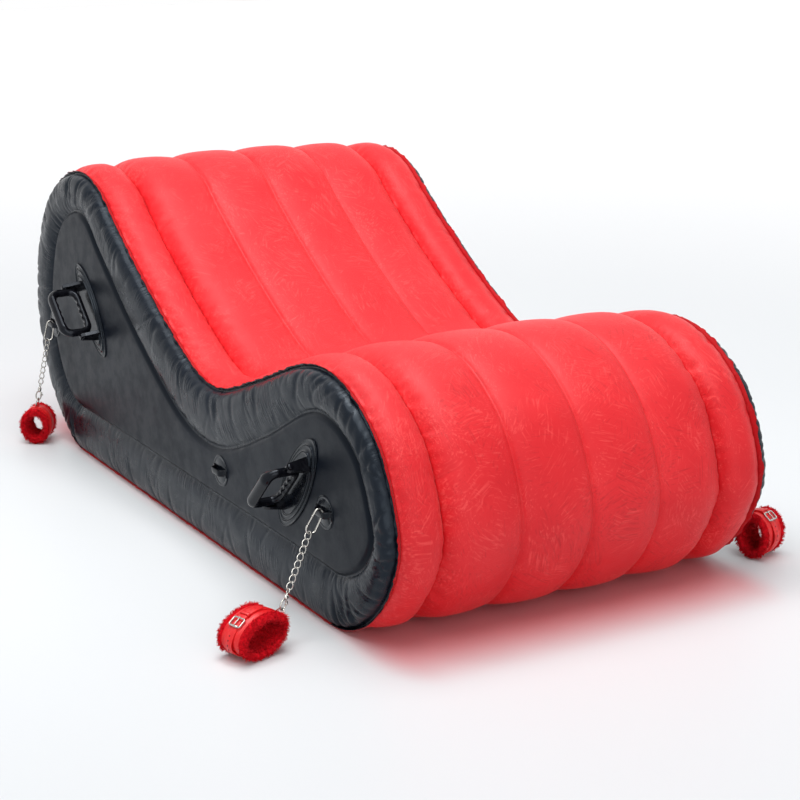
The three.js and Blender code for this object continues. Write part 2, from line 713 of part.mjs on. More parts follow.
function tether({
  name, tab: tabIndex, side, swingDeg, leanDeg, bore, toRing, along, across, buckleStep,
}) {
  const place = TABS[tabIndex];
  const hang = onPanel(side, place.alongShare, place.upShare)
    .addScaledVector(vec(0, side, 0), TAB_PATCH + BAND_STAND);
  const swing = radians(swingDeg);
  const lean = radians(leanDeg);
  const drop = vec(0, side * Math.sin(swing), -Math.cos(swing));
  const front = vec(0, side * Math.cos(swing), Math.sin(swing));
  const lengthways = vec(1, 0, 0);

  // Carabiner: open wire with a gate on its outer side.
  const lower = hang.clone().addScaledVector(drop, CARABINER_SPAN);
  const topFront = hang.clone().addScaledVector(front, CARABINER_TOP);
  const lowFront = lower.clone().addScaledVector(front, CARABINER_BOTTOM);
  const gateTop = topFront.clone().lerp(lowFront, GATE_START_SHARE);
  const gateLow = topFront.clone().lerp(lowFront, GATE_END_SHARE);
  add(`${name}_carabiner`, wire([
    gateTop,
    ...arc(hang, front, drop, CARABINER_TOP, 0, -180, CARABINER_ARC_STEPS),
    ...arc(lower, front, drop, CARABINER_BOTTOM, 180, 0, CARABINER_ARC_STEPS),
    gateLow,
  ], lengthways, CARABINER_WIRE, CARABINER_SIDES, false), STEEL);
  const gateAxis = gateTop.clone().sub(gateLow);
  const gateLength = gateAxis.length();
  gateAxis.normalize();
  add(`${name}_gate`, turned(gateLow, gateAxis, [
    [CLEARANCE * 2, CARABINER_WIRE * GATE_THICKNESS_SHARE],
    [gateLength - 2 * CLEARANCE, CARABINER_WIRE * GATE_THICKNESS_SHARE],
  ], CARABINER_SIDES), STEEL);

  // Chain with the swivel's eye and stud as its last piece.
  const pull = vec(Math.sin(lean), 0, 0).addScaledVector(drop, Math.cos(lean));
  const seat = lower.clone().addScaledVector(drop, CARABINER_BOTTOM).addScaledVector(pull, -CARABINER_WIRE);
  const wide = vec(Math.cos(lean), 0, 0).addScaledVector(drop, -Math.sin(lean));
  const square = vec(0, 0, 0).crossVectors(pull, wide);
  const down = (distance) => seat.clone().addScaledVector(pull, distance);
  const firstLink = LINK_HALF_LENGTH - LINK_WIRE - LINK_PLAY;
  const links = Array.from({ length: LINK_COUNT }, (_, i) => (
    link(down(firstLink + i * LINK_PITCH), pull, wide, square)
  ));
  const lastEnd = firstLink + (LINK_COUNT - 1) * LINK_PITCH + LINK_HALF_LENGTH;
  const eyeCentre = lastEnd - LINK_WIRE - EYE_WIRE + CLEARANCE + EYE_RADIUS;
  const eye = wire(
    arc(down(eyeCentre), wide, pull, EYE_RADIUS, 0, 360, EYE_STEPS).slice(1),
    square, EYE_WIRE, LINK_SIDES, true,
  );
  const studTop = eyeCentre + EYE_RADIUS;
  const stud = turned(down(studTop), pull, [
    [0, STUD_RADIUS], [STUD_LENGTH - STUD_HEAD, STUD_RADIUS],
    [STUD_LENGTH - STUD_HEAD, STUD_HEAD_RADIUS], [STUD_LENGTH, STUD_HEAD_RADIUS],
  ], BARREL_SIDES);
  add(`${name}_chain`, join([...links, eye, stud]), STEEL);

  // Swivel snap hook: barrel round the stud's head, closed hook loop below.
  const barrelTop = studTop + EYE_WIRE + 2 * CLEARANCE;
  const cavity = STUD_HEAD_RADIUS + 2 * CLEARANCE;
  const barrel = turned(down(barrelTop), pull, [
    [0, STUD_RADIUS + 2 * CLEARANCE], [0, BARREL_RADIUS], [BARREL_LENGTH, BARREL_RADIUS],
    [BARREL_LENGTH, STUD_RADIUS], [BARREL_LENGTH - BARREL_WALL, STUD_RADIUS],
    [BARREL_LENGTH - BARREL_WALL, cavity], [BARREL_WALL, cavity], [BARREL_WALL, STUD_RADIUS + 2 * CLEARANCE],
  ], BARREL_SIDES, true);
  const boreAxis = vec(...bore).normalize();
  const ringDown = pull.clone().addScaledVector(boreAxis, -pull.dot(boreAxis)).normalize();
  const hookAcross = vec(0, 0, 0).crossVectors(boreAxis, pull).normalize();
  const hookCentre = barrelTop + BARREL_LENGTH + HOOK_HALF_LENGTH - HOOK_WIRE / 2;
  const hookSquare = vec(0, 0, 0).crossVectors(pull, hookAcross);
  const hook = wire(Array.from({ length: HOOK_STEPS }, (_, i) => {
    const angle = (i / HOOK_STEPS) * 2 * Math.PI;
    return down(hookCentre + HOOK_HALF_LENGTH * Math.sin(angle))
      .addScaledVector(hookAcross, HOOK_HALF_WIDTH * Math.cos(angle));
  }), hookSquare, HOOK_WIRE, CARABINER_SIDES, true);
  add(`${name}_snap_hook`, join([barrel, hook]), STEEL);

  // Ring: bow through the hook, straight bar in the cuff's keeper.
  const bowTop = down(hookCentre + HOOK_HALF_LENGTH - HOOK_WIRE - CLEARANCE - RING_WIRE);
  const bar = bowTop.clone().addScaledVector(ringDown, RING_HEIGHT);
  const bowCentre = bowTop.clone().addScaledVector(ringDown, RING_HALF_WIDTH);
  add(`${name}_ring`, wire([
    ...arc(bowCentre, boreAxis, ringDown, RING_HALF_WIDTH, 0, -180, RING_STEPS),
    bar.clone().addScaledVector(boreAxis, -RING_HALF_WIDTH),
    bar.clone(),
    bar.clone().addScaledVector(boreAxis, RING_HALF_WIDTH),
  ], vec(0, 0, 0).crossVectors(boreAxis, ringDown), RING_WIRE, CARABINER_SIDES, true), STEEL);

  // Cuff: oval bands round the bore; radial faces its ring.
  const radial = vec(...toRing);
  radial.addScaledVector(boreAxis, -radial.dot(boreAxis)).normalize();
  const other = vec(0, 0, 0).crossVectors(boreAxis, radial);
  const centre = bar.clone().addScaledVector(radial, -along - KEEPER_RADIUS);
  const oval = (section) => loft(Array.from({ length: CUFF_STEPS }, (_, i) => {
    const angle = (i / CUFF_STEPS) * 2 * Math.PI;
    const point = centre.clone()
      .addScaledVector(radial, along * Math.cos(angle))
      .addScaledVector(other, across * Math.sin(angle));
    const normal = radial.clone().multiplyScalar(Math.cos(angle) / along)
      .addScaledVector(other, Math.sin(angle) / across).normalize();
    return section.map(([axial, rise]) => (
      point.clone().addScaledVector(boreAxis, axial).addScaledVector(normal, rise)
    ));
  }), true);
  const leather = oval([
    [-CUFF_HALF_WIDTH, -CUFF_LEATHER - STRAP_THICKNESS], [CUFF_HALF_WIDTH, -CUFF_LEATHER - STRAP_THICKNESS],
    [CUFF_HALF_WIDTH, -STRAP_THICKNESS], [STRAP_HALF_WIDTH, -STRAP_THICKNESS],
    [STRAP_HALF_WIDTH, 0], [-STRAP_HALF_WIDTH, 0], [-STRAP_HALF_WIDTH, -STRAP_THICKNESS],
    [-CUFF_HALF_WIDTH, -STRAP_THICKNESS],
  ]);
  const tube = turned(bar, boreAxis, [
    [-KEEPER_HALF_LENGTH, RING_WIRE + 2 * CLEARANCE], [-KEEPER_HALF_LENGTH, KEEPER_RADIUS + STRAP_THICKNESS / 2],
    [KEEPER_HALF_LENGTH, KEEPER_RADIUS + STRAP_THICKNESS / 2], [KEEPER_HALF_LENGTH, RING_WIRE + 2 * CLEARANCE],
  ], KEEPER_SIDES, true);
  add(`${name}_cuff`, join([leather, tube]), RED_LEATHER);
  const skin = -CUFF_LEATHER - STRAP_THICKNESS - CLEARANCE;
  const edge = CUFF_HALF_WIDTH + CLEARANCE * 2;
  const tip = CUFF_HALF_WIDTH + FUR_OVERHANG;
  add(`${name}_fur`, oval([
    [-edge, skin], [edge, skin], [tip - FUR_CURL, skin + FUR_CURL], [tip, skin],
    [tip - FUR_CURL, skin - FUR_THICKNESS], [FUR_CURL - tip, skin - FUR_THICKNESS],
    [-tip, skin], [FUR_CURL - tip, skin + FUR_CURL],
  ]), RED_FUR);

  // Roller buckle: frame lying on one flat of the strap.
  const strapPoint = (step) => {
    const angle = (step * 2 * Math.PI) / CUFF_STEPS;
    return centre.clone()
      .addScaledVector(radial, along * Math.cos(angle))
      .addScaledVector(other, across * Math.sin(angle));
  };
  const run = strapPoint(buckleStep + 1).sub(strapPoint(buckleStep)).normalize();
  const normal = vec(0, 0, 0).crossVectors(run, boreAxis);
  const buckle = strapPoint(buckleStep).lerp(strapPoint(buckleStep + 1), 0.5)
    .addScaledVector(normal, BUCKLE_WIRE + CLEARANCE);
  const corners = [[-1, -1], [0, -1], [1, -1], [1, 1], [0, 1], [-1, 1]].map(([u, v]) => (
    buckle.clone()
      .addScaledVector(boreAxis, u * BUCKLE_HALF_WIDTH)
      .addScaledVector(run, v * BUCKLE_HALF_LENGTH)
  ));
  const prong = turned(
    buckle.clone().addScaledVector(run, -BUCKLE_HALF_LENGTH), run,
    [[0, BUCKLE_WIRE * PRONG_SHARE], [2 * BUCKLE_HALF_LENGTH, BUCKLE_WIRE * PRONG_SHARE]], CARABINER_SIDES,
  );
  add(`${name}_buckle`, join([
    wire(corners, normal, BUCKLE_WIRE, LINK_SIDES, true), prong,
  ]), STEEL);
}

CORNERS.forEach(tether);

export default group;
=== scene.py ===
import json
import math
import random

import bmesh
import bpy
import numpy as np
from mathutils import Matrix, Vector, noise
from mathutils.geometry import delaunay_2d_cdt


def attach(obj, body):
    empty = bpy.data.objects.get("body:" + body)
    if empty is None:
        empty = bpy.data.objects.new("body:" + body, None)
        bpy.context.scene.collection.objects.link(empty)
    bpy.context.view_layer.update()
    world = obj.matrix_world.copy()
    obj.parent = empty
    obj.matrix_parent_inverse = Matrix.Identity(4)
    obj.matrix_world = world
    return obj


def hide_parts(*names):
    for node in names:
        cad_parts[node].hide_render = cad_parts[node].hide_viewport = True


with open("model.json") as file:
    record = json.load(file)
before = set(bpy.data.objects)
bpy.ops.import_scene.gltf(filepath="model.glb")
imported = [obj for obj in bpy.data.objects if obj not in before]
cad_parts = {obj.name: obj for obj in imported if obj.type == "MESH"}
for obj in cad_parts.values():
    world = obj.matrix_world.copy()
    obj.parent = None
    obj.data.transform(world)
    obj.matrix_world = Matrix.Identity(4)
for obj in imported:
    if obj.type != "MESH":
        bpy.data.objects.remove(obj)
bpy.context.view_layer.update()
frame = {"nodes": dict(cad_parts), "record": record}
scene = bpy.context.scene
PI = math.pi
TURN = 2 * PI
SIDES = ((-1, "right"), (1, "left"))
CAMERA_AT = Vector((3.4927, -1.9126, 1.3331))
CAMERA_LOOK = Vector((0.1810, 0.0030, 0.2305))


def aimed(data, at, to, **settings):
    """Put a camera or a lamp into the scene at one point, looking to another."""
    for key, value in settings.items():
        setattr(data, key, value)
    o = bpy.data.objects.new(data.name, data)
    scene.collection.objects.link(o)
    o.location = at
    o.rotation_euler = (to - at).to_track_quat("-Z", "Y").to_euler()
    return o


scene.camera = aimed(bpy.data.cameras.new("camera"), CAMERA_AT, CAMERA_LOOK,
                     sensor_width=36, lens=85.8, shift_x=-0.001, shift_y=0.0146, clip_end=60)
scene.view_settings.view_transform = "Standard"


# Materials

class Shader:
    """Adds nodes to a tree; each method but node returns an output."""

    def __init__(self, tree):
        self.nodes, self.links = tree.nodes, tree.links

    def feed(self, socket, value):
        if isinstance(value, bpy.types.NodeSocket):
            self.links.new(value, socket)
        else:
            socket.default_value = value

    def node(self, kind, *inputs, **settings):
        n = self.nodes.new("ShaderNode" + kind)
        for key, value in settings.items():
            setattr(n, key, value)
        for key, value in inputs:
            self.feed(n.inputs[key], value)
        return n

    def coords(self, rotation=(0, 0, 0)):
        place = self.node("TexCoord").outputs["Object"]
        return self.node("Mapping", ("Rotation", rotation), ("Vector", place)).outputs["Vector"]

    def noise(self, vector, scale, detail=3, rough=0.5, distortion=0.0):
        return self.node("TexNoise", ("Scale", scale), ("Detail", detail), ("Roughness", rough),
                         ("Distortion", distortion), ("Vector", vector)).outputs["Fac"]

    def ramp(self, value, *stops):
        n = self.node("ValToRGB", ("Fac", value))
        elements = n.color_ramp.elements
        while len(elements) < len(stops):
            elements.new(0.5)
        for element, (at, colour) in zip(elements, stops):
            element.position = at
            element.color = (*colour, 1)
        return n.outputs["Color"]

    def maths(self, operation, a, b=0.0):
        return self.node("Math", (0, a), (1, b), operation=operation).outputs[0]

    def blend(self, factor, low, high):
        n = self.node("Mix", ("Factor", factor), data_type="RGBA")
        for key, colour in ((6, low), (7, high)):
            self.feed(n.inputs[key], (*colour, 1) if isinstance(colour, tuple) else colour)
        return n.outputs[2]

    def span(self, value, low, high, to_low, to_high, kind="SMOOTHSTEP"):
        return self.node("MapRange", ("From Min", low), ("From Max", high), ("To Min", to_low),
                         ("To Max", to_high), ("Value", value),
                         interpolation_type=kind).outputs["Result"]

    def nap_strokes(self, base, cell_scale, long, fine, seed):
        """Fine strokes that run another way in each patch of the pile."""
        moved = self.node("VectorMath", (0, base), (1, (seed, seed * 0.7, seed * 1.3)),
                          operation="ADD").outputs[0]
        wobble = self.node("TexNoise", ("Vector", moved), ("Scale", cell_scale * 2.2),
                           ("Detail", 1)).outputs["Color"]
        mixed = self.node("VectorMath", (0, wobble), (1, (0.05, 0.05, 0.05)), (2, moved),
                          operation="MULTIPLY_ADD").outputs[0]
        cells = self.node("TexVoronoi", ("Vector", mixed), ("Scale", cell_scale))
        split = self.node("SeparateColor", (0, cells.outputs["Color"]))
        turned = self.node("VectorRotate", ("Vector", moved), ("Center", cells.outputs["Position"]),
                           ("Axis", self.node("NewGeometry").outputs["Normal"]),
                           ("Angle", self.maths("MULTIPLY", split.outputs[0], 6.28)),
                           rotation_type="AXIS_ANGLE").outputs[0]
        drawn = self.node("Mapping", ("Scale", (fine, long, fine)), ("Vector", turned))
        lines = self.noise(drawn.outputs["Vector"], 1.0, 2)
        return self.maths("ADD", self.maths("MULTIPLY", split.outputs[1], 0.16),
                          self.maths("MULTIPLY", lines, 0.84))

    def rim_wrinkles(self):
        """Fine creases across the rim in clusters, from the mesh's run and reach values."""
        run, reach = (self.node("Attribute", attribute_name=key).outputs["Fac"]
                      for key in ("run", "reach"))

        def sample(along, run_scale, reach_scale, detail, shift):
            both = self.node("CombineXYZ", (0, self.maths("MULTIPLY", along, run_scale)),
                             (1, self.maths("MULTIPLY", reach, reach_scale)), (2, shift))
            return self.noise(both.outputs[0], 1.0, detail, 0.55)

        slant = sample(run, 9, 1.5, 2, 3.7)
        shift = self.maths("MULTIPLY", slant, self.maths("MULTIPLY", reach, 0.05))
        run = self.maths("ADD", run, shift)
        lines = self.span(sample(run, 135, 1.6, 3, 1.1), 0.42, 0.72, 0.0, 1.0)
        groups = self.span(sample(run, 11, 2.0, 2, 8.3), 0.46, 0.66, 0.0, 1.0)
        return self.maths("MULTIPLY", lines, groups)


class Surface(Shader):
    """A material around its Principled shader."""

    def __init__(self, name):
        self.material = bpy.data.materials.new(name)
        self.material.use_nodes = True
        super().__init__(self.material.node_tree)
        self.inputs = self.nodes["Principled BSDF"].inputs

    def look(self, colour, rough, level=0.5, tint=(1, 1, 1), relief=(), **others):
        """Set the sockets; relief lists bump layers of height, strength and distance."""
        values = {"Base Color": colour, "Roughness": rough, "Specular IOR Level": level,
                  "Specular Tint": (*tint, 1)}
        for key, value in values.items():
            self.feed(self.inputs[key], value)
        for key, value in others.items():
            self.feed(self.inputs[key.replace("_", " ").title()], value)
        normal = None
        for height, strength, distance in relief:
            wired = [("Strength", strength), ("Distance", distance), ("Height", height)]
            normal = self.node("Bump", *wired, *([("Normal", normal)] if normal else []))
            normal = normal.outputs["Normal"]
        if normal:
            self.feed(self.inputs["Normal"], normal)
        return self.material


def flock(name, shade, gloss):
    s = Surface(name)
    base = s.coords()
    patch = s.noise(base, 4.5, 3, 0.55, 0.6)
    big = s.nap_strokes(base, 12, 14, 210, 2.3)
    small = s.nap_strokes(base, 21, 24, 330, 7.1)
    third = s.nap_strokes(base, 16, 18, 260, 12.7)
    nap = s.noise(base, 1500, 2, 0.6)

    def red(*colour):
        return tuple(c * shade for c in colour)

    colour = s.ramp(patch, (0.32, red(0.62, 0.006, 0.012)), (0.50, red(0.67, 0.010, 0.016)),
                    (0.68, red(0.71, 0.014, 0.020)))
    for strokes, low, amount, tone in (
            (big, 0.54, 0.54, red(0.84, 0.078, 0.074)),
            (small, 0.54, 0.46, red(0.84, 0.086, 0.081)),
            (third, 0.52, 0.50, red(0.42, 0.001, 0.005))):
        colour = s.blend(s.span(strokes, low, 0.78, 0.0, amount), colour, tone)
    return s.look(colour, 0.47, gloss, sheen_weight=0.08, sheen_roughness=0.45,
                  sheen_tint=(1, 0.52, 0.50, 1),
                  relief=[(big, 0.14, 0.002), (small, 0.14, 0.0015), (nap, 0.5, 0.0006)])


def vinyl(name, colour, rough, crease=0.12, scale=1.0, level=0.15, pores=1.0, wrinkles=0.0):
    s = Surface(name)
    base = s.coords()
    cloud = s.noise(base, 3.0 * scale)
    fine = s.noise(base, 520, 2, 0.6)
    grain = s.noise(base, 150, 3, 0.6, 0.3)
    soft = s.noise(s.coords((0.2, 0.4, 0.1)), 26 * scale, 4, 0.6)
    dark, light = (tuple(c * share for c in colour) for share in (0.80, 1.22))
    relief = [(soft, crease, 0.003), (grain, 0.16 * pores, 0.0008), (fine, 0.2 * pores, 0.0004)]
    if wrinkles:
        relief.append((s.rim_wrinkles(), wrinkles, 0.002))
    return s.look(s.ramp(cloud, (0.3, dark), (0.7, light)),
                  s.span(soft, 0.3, 0.7, rough - 0.06, rough + 0.08),
                  level, (0.74, 0.87, 1.0), relief)


def plastic():
    s = Surface("black_plastic")
    soft = s.noise(s.coords(), 60, 2)
    return s.look(s.ramp(soft, (0.3, (0.002, 0.002, 0.003)), (0.7, (0.004, 0.004, 0.006))),
                  s.span(soft, 0, 1, 0.10, 0.20, "LINEAR"), 0.22, (0.80, 0.88, 1.0),
                  [(soft, 0.08, 0.0006)])


def steel():
    s = Surface("steel")
    soft = s.noise(s.coords(), 300, 3, 0.6)
    return s.look(s.ramp(soft, (0.3, (0.40, 0.385, 0.36)), (0.7, (0.56, 0.545, 0.51))),
                  s.span(soft, 0, 1, 0.14, 0.32, "LINEAR"), metallic=1.0,
                  relief=[(soft, 0.1, 0.0003)])


def leather():
    s = Surface("red_leather")
    base = s.coords()
    cells = s.node("TexVoronoi", ("Scale", 900), ("Vector", base), feature="DISTANCE_TO_EDGE")
    soft = s.noise(base, 60)
    return s.look(s.ramp(soft, (0.3, (0.66, 0.006, 0.009)), (0.7, (0.80, 0.013, 0.015))),
                  s.span(soft, 0, 1, 0.3, 0.48, "LINEAR"),
                  relief=[(soft, 0.2, 0.001), (cells.outputs["Distance"], 0.35, 0.0003)])


def fur():
    s = Surface("red_fur")
    soft = s.noise(s.coords(), 160, 3, 0.6)
    colour = s.ramp(soft, (0.3, (0.46, 0.001, 0.006)), (0.5, (0.64, 0.002, 0.010)),
                    (0.7, (0.82, 0.008, 0.020)))
    return s.look(colour, 0.8, 0.12, sheen_weight=0.25, sheen_tint=(1, 0.10, 0.12, 1),
                  relief=[(soft, 0.5, 0.001)])


BLACK = (0.0034, 0.0052, 0.0096)
FLOCK = flock("red_flock", 1.0, 0.32)
# darker, less glossy copy of the red flock for the hem lip: painted shade
SHADED_HEM_RED = flock("hem_red_painted_shade", 0.62, 0.06)
VINYL = vinyl("black_vinyl", BLACK, 0.30, level=0.25, wrinkles=0.5)
VINYL_FLAT = vinyl("black_vinyl_flat", BLACK, 0.36, 0.05, level=0.12, pores=0.6)
INNER = vinyl("inner_vinyl", (0.012, 0.013, 0.015), 0.6)
PATCH = vinyl("patch_vinyl", (0.004, 0.0052, 0.008), 0.20, 0.03, 3, 0.24, 0.15)
PLASTIC, STEEL, LEATHER, FUR = plastic(), steel(), leather(), fur()
SLOT_MATERIAL = {
    "red_flock": FLOCK, "black_vinyl": VINYL, "inner_vinyl": INNER, "black_plastic": PLASTIC,
    "steel": STEEL, "red_leather": LEATHER, "red_fur": FUR,
}
for part in frame["record"]["subparts"]:
    materials = frame["nodes"][part["node"]].data.materials
    materials.clear()
    materials.append(SLOT_MATERIAL[part["material_slot"]])


# Mesh helpers

def new_mesh(name, verts, faces, mat):
    me = bpy.data.meshes.new(name)
    me.from_pydata([tuple(v) for v in verts], [], [tuple(f) for f in faces])
    me.validate()
    me.update()
    me.polygons.foreach_set("use_smooth", [True] * len(me.polygons))
    me.materials.append(mat)
    o = bpy.data.objects.new(name, me)
    scene.collection.objects.link(o)
    return o


def grid_faces(n, m, loop_n=False, loop_m=False):
    out = []
    for i in range(n if loop_n else n - 1):
        for j in range(m if loop_m else m - 1):
            here, ahead = i * m, (i + 1) % n * m
            out.append((here + j, ahead + j, ahead + (j + 1) % m, here + (j + 1) % m))
    return out


def fix_normals(o):
    b = bmesh.new()
    b.from_mesh(o.data)
    bmesh.ops.remove_doubles(b, verts=b.verts, dist=1e-6)
    bmesh.ops.recalc_face_normals(b, faces=b.faces)
    b.to_mesh(o.data)
    b.free()


def dress(o, body, slot, *nodes):
    if nodes:
        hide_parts(*nodes)
    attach(o, body)
    return o


def smoothstep(x):
    x = np.clip(x, 0, 1)
    return x * x * (3 - 2 * x)


def around(count, shift=0):
    """Cosine and sine of each step of a full turn."""
    angles = [TURN * (k + shift) / count for k in range(count)]
    return [(math.cos(a), math.sin(a)) for a in angles]


class Pieces:
    """Collects vertices and faces of several closed bodies for one object."""

    def __init__(self):
        self.v, self.f = [], []

    def rings(self, rings, looped=False):
        n, m, start = len(rings), len(rings[0]), len(self.v)
        faces = grid_faces(n, m, looped, True)
        if not looped:
            faces.append(tuple(range(m)))
            faces.append(tuple((n - 1) * m + j for j in reversed(range(m))))
        self.v += [tuple(map(float, p)) for r in rings for p in r]
        self.f += [tuple(i + start for i in f) for f in faces]
        return self

    def tube(self, path, radius, sides, square, looped=True):
        """Wire along a path; its rings are turned by the direction called square."""
        radii = radius if isinstance(radius, list) else [radius] * len(path)
        rings = []
        for i, p in enumerate(path):
            a = path[i - 1] if looped or i else path[0]
            b = path[(i + 1) % len(path)] if looped or i < len(path) - 1 else path[-1]
            along = (b - a).normalized()
            aside = along.cross(square).normalized()
            lift = aside.cross(along).normalized()
            rings.append([p + aside * (radii[i] * c) + lift * (radii[i] * s)
                          for c, s in around(sides)])
        return self.rings(rings, looped)

    def turned(self, base, axis, steps, sides=32, hollow=False):
        """Body of revolution from steps of (height, radius) along the axis."""
        base, axis = Vector(base), Vector(axis).normalized()
        u = axis.orthogonal().normalized()
        w = axis.cross(u)
        return self.rings([
            [base + axis * h + u * (r * c) + w * (r * s) for c, s in around(sides)]
            for h, r in steps], hollow)

    def transform(self, origin, along, out):
        along, out = Vector(along).normalized(), Vector(out).normalized()
        m = Matrix((along, out.cross(along).normalized(), out)).transposed()
        self.v = [tuple(origin + m @ Vector(p)) for p in self.v]
        return self

    def make(self, owner, what, mat, body, *nodes, slot=None, bevel=0.0):
        """Make the object; the names of it, its body and its nodes begin with the owner's."""
        o = new_mesh(f"{owner}_{what}", self.v, self.f, mat)
        fix_normals(o)
        if bevel:
            b = o.modifiers.new("bevel", "BEVEL")
            b.width, b.segments, b.limit_method, b.angle_limit = bevel, 3, "ANGLE", 0.6
            b.harden_normals = True
        body = body if body == "body" else f"{owner}_{body}"
        dress(o, body, slot or MATERIAL_SLOT[mat.name], *(f"{owner}_{node}" for node in nodes))


MATERIAL_SLOT = {mat.name: slot for slot, mat in SLOT_MATERIAL.items()}


def waves(*layers):
    """Sum of noise layers, each an amount and a point."""
    return sum(amount * noise.noise(Vector(point)) for amount, *point in layers)


# Body: the side's outline as in the CAD part, by shares of length, of height and of rim
LENGTH, HEIGHT, HALF = 1.720, 0.656, 0.390
RIM, WALL, PANEL_OUT = 0.111, 0.0008, 0.026
COVER_STEPS, SIDE_STEPS, FLOOR_STEPS, CHANNEL_STEPS = 840, 820, 330, 20
OUTLINE = [
    (0, 0.33, 0.5), (0.03, 0.543, 0.48), (0.065, 0.634, 0.5), (0.108, 0.694, 0.58),
    (0.152, 0.713, 0.64), (0.2, 0.694, 0.74), (0.302, 0.59, 0.92), (0.4, 0.5, 1),
    (0.442, 0.494, 1), (0.485, 0.521, 1), (0.605, 0.683, 0.92), (0.72, 0.877, 0.8),
    (0.762, 0.957, 0.74), (0.808, 1, 0.72), (0.855, 0.994, 0.74), (0.904, 0.948, 0.8),
    (0.951, 0.848, 0.88), (0.985, 0.686, 0.94), (1, 0.495, 0.95), (0.988, 0.328, 0.95),
    (0.96, 0.18, 0.95), (0.916, 0.064, 0.96), (0.866, 0.004, 1), (0.81, 0, 1), (0.5, 0, 1),
    (0.18, 0, 1), (0.1, 0.012, 0.95), (0.052, 0.088, 0.75), (0.017, 0.195, 0.58),
]


def outline_curve(steps):
    """Closed curve through the outline, with knots spaced by the root of their distance."""
    p = np.array([(LENGTH / 2 - a * LENGTH, r * RIM, h * HEIGHT) for a, h, r in OUTLINE])
    n = len(p)
    t = n * np.arange(steps) / steps
    i = t.astype(int)
    w = (t - i)[:, None]
    q = [p[(i + k - 1) % n] for k in range(4)]
    d = [np.maximum(np.sum((q[k + 1] - q[k]) ** 2, 1) ** 0.25, 1e-9)[:, None] for k in range(3)]
    m1, m2 = (
        ((b - a) / da - (c - a) / (da + db) + (c - b) / db) * d[1]
        for a, b, c, da, db in ((*q[:3], d[0], d[1]), (*q[1:], d[1], d[2])))
    return (q[1] + m1 * w + (-3 * q[1] + 3 * q[2] - 2 * m1 - m2) * w ** 2
            + (2 * q[1] - 2 * q[2] + m1 + m2) * w ** 3)


def make_stations(count):
    """Even stations over the body, from floor to floor, with the rim's width and outward way."""
    dense = outline_curve(6000)
    grounded = (dense[:, 2] <= 0.0003) & (np.abs(dense[:, 0]) < LENGTH / 2)
    index = np.nonzero(grounded)[0]
    path = np.concatenate([dense[index[-1]:], dense[: index[0] + 1]])
    path[:, 2] = np.maximum(path[:, 2], 0)
    path[0, 2] = path[-1, 2] = 0
    step = np.linalg.norm(np.diff(path[:, [0, 2]], axis=0), axis=1)
    s = np.concatenate([[0], np.cumsum(step)])
    at = np.linspace(0, s[-1], count)
    x, rim, z = (np.interp(at, s, path[:, k]) for k in range(3))
    tx, tz = np.gradient(x), np.gradient(z)
    norm = np.hypot(tx, tz)
    out = np.stack([tz / norm, -tx / norm], 1)
    out[0] = out[-1] = (0, -1)
    out /= np.linalg.norm(out, axis=1)[:, None]
    return {"x": x, "z": z, "rim": rim, "out": out, "fade": smoothstep(z / 0.060), "s": at}


def soften(values, width=41):
    """Average round the closed outline, so that the rim turns its lower corners softly."""
    window = np.hanning(width + 2)[1:-1]
    window /= window.sum()
    half = width // 2
    return np.convolve(np.concatenate([values[-half:], values, values[:half]]), window, "valid")


def side_stations():
    """Stations right round the side, the line on the floor included."""
    st = make_stations(SIDE_STEPS)
    turn = np.abs(np.gradient(np.unwrap(np.arctan2(st["out"][:, 1], st["out"][:, 0])), st["s"]))
    st["bend"] = np.convolve(turn, np.ones(29) / 29, "same")
    t = np.linspace(0, 1, FLOOR_STEPS + 2)[1:-1]
    x = st["x"][-1] + (st["x"][0] - st["x"][-1]) * t
    flat = {
        "x": x, "z": 0 * t, "rim": st["rim"][-1] + (st["rim"][0] - st["rim"][-1]) * t,
        "out": np.tile((0.0, -1.0), (FLOOR_STEPS, 1)), "fade": 0 * t,
        "s": st["s"][-1] + np.abs(x - st["x"][-1]), "bend": 0 * t + 0.9,
    }
    st = {key: np.concatenate([st[key], flat[key]]) for key in st}
    st["out"] = np.stack([soften(st["out"][:, k]) for k in (0, 1)], 1)
    st["out"] /= np.linalg.norm(st["out"], axis=1)[:, None]
    st["rim"] = soften(st["rim"])
    return st


ST, SS = make_stations(COVER_STEPS), side_stations()
MS = len(SS["x"])


def gathers(seed, tight, loose, low, high):
    """Random folds along the side's seams: place, width, depth, reach and tilt."""
    rng = random.Random(seed)
    s = SS["s"]
    out, at = [], s[0]
    while at < s[-1]:
        w = min(1.0, float(np.interp(at, s, SS["bend"])) / 6.0)
        gap = loose + (tight - loose) * w
        at += gap * rng.uniform(0.3, 1.9)
        depth = (low + (high - low) * w) * rng.uniform(0.4, 1.25)
        out.append((at, rng.uniform(0.0020, 0.0080), depth, rng.uniform(0.12, 0.85) ** 1.3,
                    rng.uniform(-0.7, 0.7)))
    return out


def fold_field(across, folds, reach_scale):
    """Depth of the folds at the side's stations and at distances across from the seam."""
    s, across = SS["s"], across[None, :]
    field = np.zeros((len(s), across.size))
    for at, width, depth, reach, tilt in folds:
        near = np.abs(s - at) < 0.05
        if near.any():
            d = s[near][:, None] - at - tilt * across
            w = width * (1 + across * 5)
            rise = across / (reach * reach_scale)
            field[near] += (depth * np.exp(-(d / w) ** 2) * np.exp(-rise ** 2)
                            * np.clip(across / 0.003, 0, 1))
    return field


